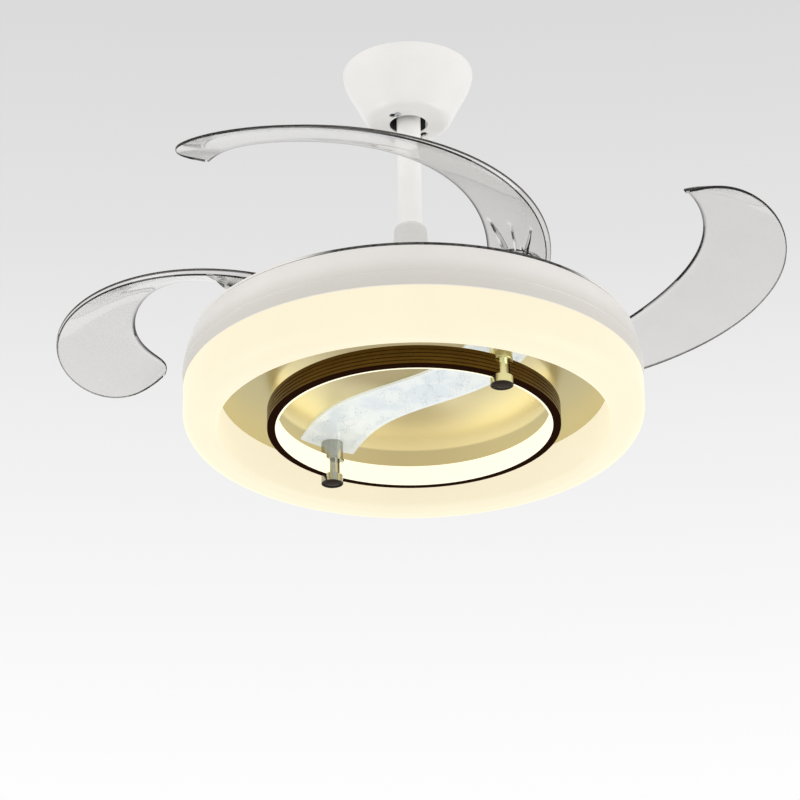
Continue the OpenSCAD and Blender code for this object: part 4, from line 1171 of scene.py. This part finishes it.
@dataclass
class Blade:
    """One clear blade: a cambered, pitched skin on a round hub with gussets.

    A station t runs from root (0) to tip (1). Folded, the blade lies along the
    angle -span sin(90 t) about the fan's axis; its edges are Bezier curves of
    their distance from the spindle circle and of their height above the tray.
    """

    fold_angle: float = 62.5
    span: float = 148.0
    edge_out: tuple[float, ...] = (30, 34, 2.5, 58, 96, -12.5)
    edge_in: tuple[float, ...] = (-30, -30, -114, 0, -38, -12.5)
    rise_out: tuple[float, ...] = (8, 55, 38, 46, 71)
    rise_in: tuple[float, ...] = (17, 116, 45, 106, 71)
    camber: float = 5.0
    lip_w: float = 6.0
    lip_h: float = 5.0
    lip_end: float = 0.62
    lip_least: float = 0.15
    lip_steps: int = 5
    thickness: float = 2.6
    tip_t: float = 0.993
    crowding: float = 1.35
    stations: int = 110
    across: int = 16
    round_angles: tuple[float, ...] = (-60, -30, 0, 30, 60)
    mark_out: float = 1.0
    mark_in: float = 0.8
    mark_beside: float = 0.15
    seat: float = 0.3
    hub_r: float = 30.0
    hub_h: float = 24.0
    hub_wall: float = 2.5
    hub_soft: float = 1.2
    hub_sides: int = 72
    boss_r: float = 11.0
    bore_r: float = 6.05
    cut_low: float = 4.0
    cut_high: float = 40.0
    gussets: tuple[float, ...] = (0.14, 0.48, 0.82)
    gusset_start: float = 0.1
    gusset_end: float = 0.088
    gusset_half: float = 0.016
    gusset_steps: int = 14

    @property
    def hub_z(self) -> float:
        """Height of the hub's foot, a seating gap above the tray."""
        return TRAY_TOP + self.seat

    def point(self, t: Array, u: Array) -> Array:
        """Gives points of the lower face, folded.

        With w = min(u, 1) and b = u - w: r = spindle circle + the edges' mix at
        w + b lip_w fade, angle = -span sin(90 t), z = tray + the rises' mix at
        w + camber sin(180 w) sin(180 t) + b lip_h fade. The lip's fade is
        1 - t / lip_end, but lip_least at least.

        Args:
            t: Stations, root to tip.
            u: 0 at the inner edge, 1 at the outer one, to 2 on the turned-up lip.

        Returns:
            The points, with a last axis of x, y, z.
        """
        w = np.minimum(u, 1)
        b = u - w
        fade = np.maximum(self.lip_least, 1 - t / self.lip_end)
        r = SPINDLE_R + bezier(self.edge_in, t) * (1 - w)
        r = r + bezier(self.edge_out, t) * w + b * self.lip_w * fade
        a = np.radians(-self.span * np.sin(np.radians(90 * t)))
        z = TRAY_TOP + bezier(self.rise_in, t) * (1 - w)
        z = z + bezier(self.rise_out, t) * w + b * self.lip_h * fade
        z = z + self.camber * np.sin(math.pi * w) * np.sin(math.pi * t)
        return np.stack([r * np.cos(a), r * np.sin(a), z], -1)

    def skin(self) -> Shell:
        """Makes the blade's skin with rounded edges.

        Each section runs along the lower face from the inner to the outer edge,
        round the edge on an arc of half the thickness, and back on top. The
        stations 1 - (1 - s)^crowding stand closer towards the tip.

        Returns:
            The closed skin, with the rim mark mark_out round the outer edge,
            mark_in round the inner one and mark_beside next to the outer one; the mark
            sets how much painted shade darkens the edges.
        """
        half = self.thickness / 2
        s = np.linspace(0, 1, self.stations)
        t = self.tip_t * (1 - (1 - s) ** self.crowding)
        lip = np.linspace(1, 2, self.lip_steps)[1:]
        u = np.concatenate([np.linspace(0, 1, self.across), lip])
        low = self.point(t[:, None], u[None, :])
        side = np.gradient(low, axis=1)
        side /= np.maximum(np.linalg.norm(side, axis=-1, keepdims=True), 1e-9)
        up = np.array([0, 0, 1.0])
        phi = np.radians(self.round_angles)[:, None]
        bow, rise = np.cos(phi) * half, np.sin(phi) * half
        mid = low + up * half
        outer = mid[:, -1:] + side[:, -1:] * (bow - half) + up * rise
        inner = mid[:, :1] - side[:, :1] * (bow - half) - up * rise
        under, over = low[:, 1:-1], (low + up * self.thickness)[:, 1:-1][:, ::-1]
        sections = np.concatenate([under, outer, over, inner], axis=1)
        n, m = under.shape[1], len(phi)
        marks = (0.0, self.mark_out, 0.0, self.mark_in)
        rim = np.repeat(marks, (n, m, n, m))
        rim[n - 1] = rim[n + m] = self.mark_beside
        return tube_of_sections(sections, np.broadcast_to(rim, (len(t), len(rim))))

    def gusset(self, u: float) -> Shell:
        """Makes one gusset: a fin from the boss out to the line u.

        Its roof lies inside the skin and its foot rises evenly from the hub's
        foot to the skin, so it is a long triangle seen from the side.

        Args:
            u: Where the gusset ends across the blade.

        Returns:
            The closed fin.
        """
        s = np.linspace(0, 1, self.gusset_steps)
        k = self.gusset_start + (1 - self.gusset_start) * s
        line = 0.5 + (u - 0.5) * k
        sides = np.array([-1.0, 1.0]) * self.gusset_half
        roof = self.point((self.gusset_end * k)[:, None], line[:, None] + sides)
        foot = roof.copy()
        roof[..., 2] += self.thickness / 2
        target = foot[..., 2] + self.thickness / 4
        foot[..., 2] = (self.hub_z + 1) * (1 - s[:, None]) + target * s[:, None]
        return tube_of_sections(np.concatenate([roof, foot[:, ::-1]], axis=1))

    def hub(self) -> Shell:
        """Turns the hub, whose shoulder is rounded.

        Returns:
            A cup open below, with a bored boss in its middle.
        """
        z0, z1 = self.hub_z, self.hub_z + self.hub_h
        roof, r, soft = z1 - self.hub_wall, self.hub_r, self.hub_soft
        inner = r - self.hub_wall
        boss = [[self.bore_r, z0], [self.boss_r, z0], [self.boss_r, roof]]
        wall = [[inner, roof], [inner, z0], [r, z0]]
        shoulder = quarter(r - soft, z1 - soft, soft, 0, 5)
        profile = np.concatenate([boss, wall, shoulder, [[self.bore_r, z1]]])
        return lathe(profile, self.hub_sides, (SPINDLE_R, 0.0))

    def bore(self, radius: float, drop: float = 0.0) -> Shell:
        """Makes an upright plug about the spindle, for a cut, lowered by drop."""
        low = self.hub_z - self.cut_low - drop
        high = self.hub_z + self.hub_h + self.cut_high - drop
        return plug(radius, self.hub_sides, (SPINDLE_R, 0.0), low, high)


@dataclass
class BladeSet:
    """The four blades, alike and a quarter turn apart."""

    blade: Blade = field(default_factory=Blade)

    def fused(self) -> bpy.types.Mesh:
        """Joins skin, hub and gussets into one closed mesh, folded.

        Returns:
            The mesh of the first blade before it is turned open.
        """
        plan = self.blade
        core = plan.bore(plan.hub_r - plan.hub_wall / 2, plan.cut_high)
        fins = [plan.gusset(u).thing(f"fin_{k}") for k, u in enumerate(plan.gussets)]
        steps = [
            ("DIFFERENCE", core.thing("cut_core")),
            *[("UNION", fin) for fin in fins],
            ("UNION", plan.hub().thing("hub")),
            ("DIFFERENCE", plan.bore(plan.bore_r).thing("cut_bore")),
        ]
        return carved(plan.skin().thing("skin"), steps)

    def build(self, shop: Paintshop) -> list[bpy.types.Object]:
        """Makes the four blades open, each standing for its node.

        Args:
            shop: Where the finish comes from.

        Returns:
            The four pieces.
        """
        plan = self.blade
        model = self.fused()
        points = np.zeros(len(model.vertices) * 3)
        model.vertices.foreach_get("co", points)
        opened = turned(points.reshape(-1, 3), plan.fold_angle, (SPINDLE_R, 0.0))
        pieces = []
        for k in range(BLADES):
            mesh = model.copy()
            place = turned(opened, SPINDLE_ANGLE + 360 / BLADES * k) * MM
            mesh.vertices.foreach_set("co", place.reshape(-1).astype(np.float32))
            mesh.update()
            piece = clear_piece(f"clear_blade_{k + 1}", creased(mesh))
            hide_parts(f"blade_{k + 1}")
            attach(piece, f"blade_{k + 1}")
            shop.dress(piece, "clear_blade")
            pieces.append(piece)
        bpy.data.meshes.remove(model)
        return pieces


# ---------------------------------------------------------------- lamp


@dataclass
class CrystalBand:
    """The S-shaped acrylic band that lies on the gold plate between the posts.

    Its centre line is (reach v, swing sin(180 v)) and its ends are arcs about
    the fan's axis.
    """

    reach: float = 162.0
    end_r: float = 168.0
    width: float = 72.0
    swing: float = 17.0
    thickness: float = 3.0
    top: float = -401.55
    cut_depth: float = 0.12
    cut_fade: float = 3.0
    pitch: float = 3.0
    edge_w: float = 8.0
    rows: int = 200
    cols: int = 56
    halvings: int = 40
    v_most: float = 1.3

    def end_of(self, y: Array) -> Array:
        """Finds where each line across the band meets the end arc.

        Halves the interval of v where (reach v)^2 + (y + swing sin(180 v))^2
        passes end_r^2.

        Args:
            y: Offsets across the band.

        Returns:
            The v of each line's end.
        """
        low, high = np.zeros_like(y), np.full_like(y, self.v_most)
        for _ in range(self.halvings):
            mid = (low + high) / 2
            across = y + self.swing * np.sin(math.pi * mid)
            inside = (self.reach * mid) ** 2 + across**2 < self.end_r**2
            low, high = np.where(inside, mid, low), np.where(inside, high, mid)
        return (low + high) / 2

    def cups(self, x: Array, y: Array, s: Array) -> Array:
        """Works out the engraved cups of the lower face.

        A cup's depth is cut_depth max(0, 1 - 4 d^2), with d the distance to the
        nearest point of a staggered grid in pitches. They fade over the last
        cut_fade rows at the ends and millimetres at the sides.

        Args:
            x: Places along the band.
            y: Places across it.
            s: The rows' share of the way from end to end.

        Returns:
            The depth at each place.
        """
        row = np.round(y / self.pitch)
        along = x / self.pitch + 0.5 * (row % 2)
        d2 = (along - np.round(along)) ** 2 + (y / self.pitch - row) ** 2
        cup = self.cut_depth * np.maximum(0, 1 - 4 * d2)
        ends = np.minimum(np.minimum(s, 1 - s) * self.rows, self.cut_fade)
        sides = (self.width / 2 - np.abs(y)) / self.cut_fade
        return cup * (ends / self.cut_fade) * np.minimum(1, sides)

    def faces(self) -> Faces:
        """Joins the lower grid, the upper grid and the wall round both.

        Returns:
            The faces over the lower points and then the upper ones.
        """
        rows, n = self.rows, self.cols
        count = rows * n
        quads = grid_quads(rows, n, False, False)
        loop = list(range(n)) + [k * n + n - 1 for k in range(1, rows)]
        loop += [count - 1 - k for k in range(1, n)]
        loop += [k * n for k in range(rows - 2, 0, -1)]
        wall = [[a, b, b + count, a + count] for a, b in zip(loop, loop[1:] + loop[:1])]
        return quads + [[q + count for q in f[::-1]] for f in quads] + wall

    def build(self, shop: Paintshop) -> bpy.types.Object:
        """Makes the band, with the rim mark rising over the last edge_w.

        Args:
            shop: Where the finish comes from.

        Returns:
            The piece.
        """
        y = np.linspace(-self.width / 2, self.width / 2, self.cols)
        starts, ends = -self.end_of(-y), self.end_of(y)
        s = np.linspace(0, 1, self.rows)[:, None]
        v = starts + (ends - starts) * s
        x, across = self.reach * v, y + self.swing * np.sin(math.pi * v)
        foot = self.top - self.thickness + self.cups(x, y, s)
        heights = (foot, np.full_like(x, self.top))
        grids = [np.stack([x, across, z], -1).reshape(-1, 3) for z in heights]
        points = turned(np.concatenate(grids), POST_ANGLE) * MM
        inward = np.minimum(s, 1 - s) * 2 * self.reach
        near = np.minimum(self.width / 2 - np.abs(y), inward)
        rim = np.tile(np.maximum(0, 1 - near / self.edge_w).reshape(-1), 2)
        piece = Shell(points, self.faces(), rim).outward().thing("engraved_band")
        creased(piece.data)
        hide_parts("crystal_band")
        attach(piece, "suspension")
        shop.dress(piece, "crystal")
        return piece


@dataclass
class LightStrips:
    """The hoop's two lit strips: an inner wall with a lip under the rim's edge.

    A section is an upright wall inside the hoop's channel; close to a standoff
    its top is lower, so that the standoff's collar has its pocket. The strip
    stays clear of the hoop by gap, and a hair parts edges that would meet.
    """

    hoop_in: float = 148.3
    foot: float = -445.0
    hoop_h: float = 22.0
    skin: float = 0.2
    gap: float = 0.05
    hair: float = 0.02
    lip_w: float = 2.0
    lip_t: float = 0.3
    seat_low: float = 1.6
    seat_high: float = 2.1
    end_angle: float = 2.85
    pocket_angle: float = 4.65
    pocket_step: float = 0.01
    pocket_z: float = -427.8
    steps: int = 120

    def section(self) -> Array:
        """Lists the section's points.

        Returns:
            Ten rows of (radius, height), from the lip's foot to the wall's top.
        """
        hoop, foot, top = self.hoop_in, self.foot, self.foot + self.hoop_h
        r, edge, deep = hoop - self.skin, hoop - self.gap, hoop + self.lip_w
        sole, tread = foot - self.lip_t, foot - self.gap
        low, high = foot + self.seat_low, top - self.seat_high
        lip = [[r, sole], [deep, sole], [deep, tread], [edge, tread]]
        seat = [[edge, low], [deep, low], [deep, high], [edge, high + self.hair]]
        return np.array(lip + seat + [[edge, top], [r, top + self.hair]])

    def half(self, turn: float) -> Shell:
        """Sweeps the section along one half of the hoop.

        Station k stands at the post's angle + turn + angle_k and has the
        section (r_j, min(z_j, top_j)), with top_j the pocket's floor near a
        standoff.

        Args:
            turn: Where the half starts, in degrees from the first standoff.

        Returns:
            The closed strip.
        """
        r, z = self.section().T
        inner = np.linspace(self.pocket_angle, 180 - self.pocket_angle, self.steps)
        near = np.array([self.end_angle, self.pocket_angle - self.pocket_step])
        angle = np.concatenate([near, inner, 180 - near[::-1]])
        pocket = np.minimum(angle, 180 - angle) < self.pocket_angle
        floor = self.pocket_z + self.hair * np.arange(len(z))
        z = np.where(pocket[:, None], np.minimum(z, floor), z)
        a = np.radians(POST_ANGLE + turn + angle)[:, None]
        return tube_of_sections(np.stack([r * np.cos(a), r * np.sin(a), z], -1) * MM)

    def build(self, shop: Paintshop) -> list[bpy.types.Object]:
        """Makes both strips; they stand for the plain ones.

        Args:
            shop: Where the finish comes from.

        Returns:
            The two pieces.
        """
        pieces = []
        for k, turn in enumerate(HALVES):
            piece = self.half(turn).thing(f"light_strip_{k + 1}")
            creased(piece.data)
            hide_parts("hoop_light_strips")
            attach(piece, "suspension")
            shop.dress(piece, "opal", "strip_opal")
            pieces.append(piece)
        return pieces


@dataclass
class FacetedDiscs:
    """The two dark cut discs under the standoff caps.

    Each ring of a disc has its share of the radius, its depth below the top
    and its twist in steps.
    """

    radius: float = 10.7
    post_r: float = 153.65
    top: float = -452.0
    sides: int = 10
    rings: tuple[Colour, ...] = (
        (1.0, 0.0, 0.0),
        (1.0, 0.9, 0.0),
        (0.7, 1.55, 0.5),
        (0.38, 2.0, 0.0),
    )

    def disc(self, degrees: float) -> Shell:
        """Makes one disc: an upright girdle, facets below it and a flat table.

        Point k of a ring is (share r cos a, share r sin a, top - depth), with
        a = 360 (k + twist) / sides. The ring with half a step of twist makes
        the facets between it and its neighbours lean, like cut glass.

        Args:
            degrees: Direction of its post from the fan's axis.

        Returns:
            The closed disc.
        """
        share, depth, twist = np.array(self.rings).T[..., None]
        around = (np.arange(self.sides) + twist) * (2 * math.pi / self.sides)
        r, z = share * self.radius, np.broadcast_to(self.top - depth, around.shape)
        rings = np.stack([r * np.cos(around), r * np.sin(around), z], -1)
        a = math.radians(degrees)
        centre = [self.post_r * math.cos(a), self.post_r * math.sin(a), 0]
        return tube_of_sections((rings + centre) * MM)

    def build(self, shop: Paintshop) -> list[bpy.types.Object]:
        """Makes both discs; they stand for the plain ones.

        Args:
            shop: Where the finish comes from.

        Returns:
            The two pieces.
        """
        pieces = []
        for k, turn in enumerate(HALVES):
            piece = self.disc(POST_ANGLE + turn).thing(f"faceted_disc_{k + 1}")
            piece.data.shade_flat()
            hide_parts("cap_discs")
            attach(piece, "suspension")
            shop.dress(piece, "dark_disc")
            pieces.append(piece)
        return pieces


# ---------------------------------------------------------------- studio


@dataclass(frozen=True)
class Lamp:
    """One soft area lamp, aimed at a point."""

    name: str
    at: Colour
    aim: Colour
    size: float
    watts: float

    def build(self) -> None:
        """Makes the lamp; the camera doesn't see its panel."""
        data = bpy.data.lights.new(self.name, "AREA")
        data.size, data.energy = self.size, self.watts
        back = np.array(self.at) - np.array(self.aim)
        back /= np.linalg.norm(back)
        right = np.cross([0.0, 0.0, 1.0], back)
        right /= np.linalg.norm(right)
        made = placed(self.name, data)
        stand(made, [right, np.cross(back, right), back], self.at)
        made.visible_camera = False


@dataclass
class Studio:
    """Camera, backdrop, lamps and floor, in metres and degrees.

    The backdrop holds heights of the view's direction and the greys there.
    Its reflections dim with flank_dim where the direction turns aside, from
    flank[0] to flank[1] of x.
    """

    eye: Colour = (0.0, -3.0314, -1.8537)
    pitch: float = 25.46
    roll: float = -0.93
    yaw: float = -0.28
    lens: float = 139.08
    sensor: float = 36.0
    floor_z: float = -5.3
    floor_half: float = 40.0
    floor_paint: Paint = Paint(tone(240, 240, 240), 0.7, 3 * MM, 0.0, 0.01)
    light: float = 0.92
    light_tint: Colour = (1.0, 0.995, 0.985)
    flank: Spot = (0.25, 0.8)
    flank_dim: float = 0.6
    backdrop: tuple[tuple[float, int], ...] = (
        (0.300, 254),
        (0.322, 253),
        (0.371, 247),
        (0.424, 239),
        (0.474, 228),
        (0.537, 219),
        (0.620, 212),
    )
    lamps: tuple[Lamp, ...] = (
        Lamp("soft_left", (-2.6, -0.5, -2.0), (0, 0, -0.15), 1.8, 18.0),
        Lamp("soft_right", (2.6, -0.3, -2.0), (0, 0, -0.15), 1.8, 23.0),
        Lamp("soft_front", (0.2, -2.8, -2.0), (0, 0, -0.1), 2.4, 1.8),
    )

    def camera(self) -> None:
        """Makes the camera: forward from yaw and pitch, then rolled about it."""
        p, r, y = (math.radians(a) for a in (self.pitch, self.roll, self.yaw))
        flat = math.cos(p)
        ahead = np.array([math.sin(y) * flat, math.cos(y) * flat, math.sin(p)])
        level = np.array([math.cos(y), -math.sin(y), 0.0])
        above = np.cross(level, ahead)
        right = math.cos(r) * level + math.sin(r) * above
        up = -math.sin(r) * level + math.cos(r) * above
        data = bpy.data.cameras.new("camera")
        data.lens, data.sensor_width = self.lens, self.sensor
        made = placed("camera", data)
        stand(made, [right, up, -ahead], self.eye)
        bpy.context.scene.camera = made

    def world(self) -> None:
        """Makes the backdrop: a grey that pales downwards.

        The camera sees it, also through clear pieces and in reflections; for
        everything else the light is even.
        """
        made = bpy.data.worlds.new("studio_world")
        bpy.context.scene.world = made
        tree = Tree(made, "Generated")
        low, high = self.backdrop[0][0], self.backdrop[-1][0]
        height = tree.span(tree.part("Z"), low, high, kind="LINEAR")
        stops = [((z - low) / (high - low), tone(g, g, g)) for z, g in self.backdrop]
        aside = tree.maths("ABSOLUTE", tree.part("X"))
        rays = tree.add("ShaderNodeLightPath").outputs
        dim = tree.add("ShaderNodeMix")
        tree.join(rays["Is Glossy Ray"], dim.inputs[0])
        tree.feed(dim.inputs[2], 1.0)
        tree.join(tree.span(aside, *self.flank, 1.0, self.flank_dim), dim.inputs[3])
        seen, even = (tree.add("ShaderNodeBackground") for _ in range(2))
        tree.join(tree.ramp(height, stops), seen.inputs["Color"])
        tree.join(dim.outputs[0], seen.inputs["Strength"])
        tree.feed(even.inputs["Color"], self.light_tint)
        tree.feed(even.inputs["Strength"], self.light)
        share = tree.maths("MAXIMUM", rays["Is Camera Ray"], rays["Is Glossy Ray"])
        share = tree.maths("MAXIMUM", share, rays["Is Transmission Ray"])
        choose = tree.add("ShaderNodeMixShader")
        tree.join(share, choose.inputs["Fac"])
        tree.join(even.outputs["Background"], choose.inputs[1])
        tree.join(seen.outputs["Background"], choose.inputs[2])
        out = tree.add("ShaderNodeOutputWorld")
        tree.join(choose.outputs["Shader"], out.inputs["Surface"])

    def floor(self) -> None:
        """Lays a plain pale floor far below, which takes the fan's shadow."""
        h = self.floor_half
        mesh = bpy.data.meshes.new("floor")
        corners = ((-h, -h), (h, -h), (h, h), (-h, h))
        points = [(x, y, self.floor_z) for x, y in corners]
        mesh.from_pydata(points, [], [(0, 1, 2, 3)])
        mesh.materials.append(self.floor_paint.build("floor_paint"))
        placed("floor", mesh)

    def build(self) -> None:
        """Makes the whole studio, with colours shown as they are."""
        bpy.context.scene.view_settings.view_transform = "Standard"
        self.camera()
        self.world()
        self.floor()
        for lamp in self.lamps:
            lamp.build()


def main() -> None:
    """Builds the studio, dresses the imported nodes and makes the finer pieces."""
    logging.basicConfig(level=logging.INFO, format="%(name)s: %(message)s")
    Studio().build()
    shop = Paintshop(FINISHES)
    for name, node in sorted(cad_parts.items()):
        LOG.info("%s is dressed in %s", name, shop.dress_node(name, node))
    pieces = [
        *Tray().build(shop),
        *BladeSet().build(shop),
        CrystalBand().build(shop),
        *LightStrips().build(shop),
        *FacetedDiscs().build(shop),
    ]
    for piece in pieces:
        LOG.info("%s has %d faces", piece.name, len(piece.data.polygons))


if __name__ == "__main__":
    main()
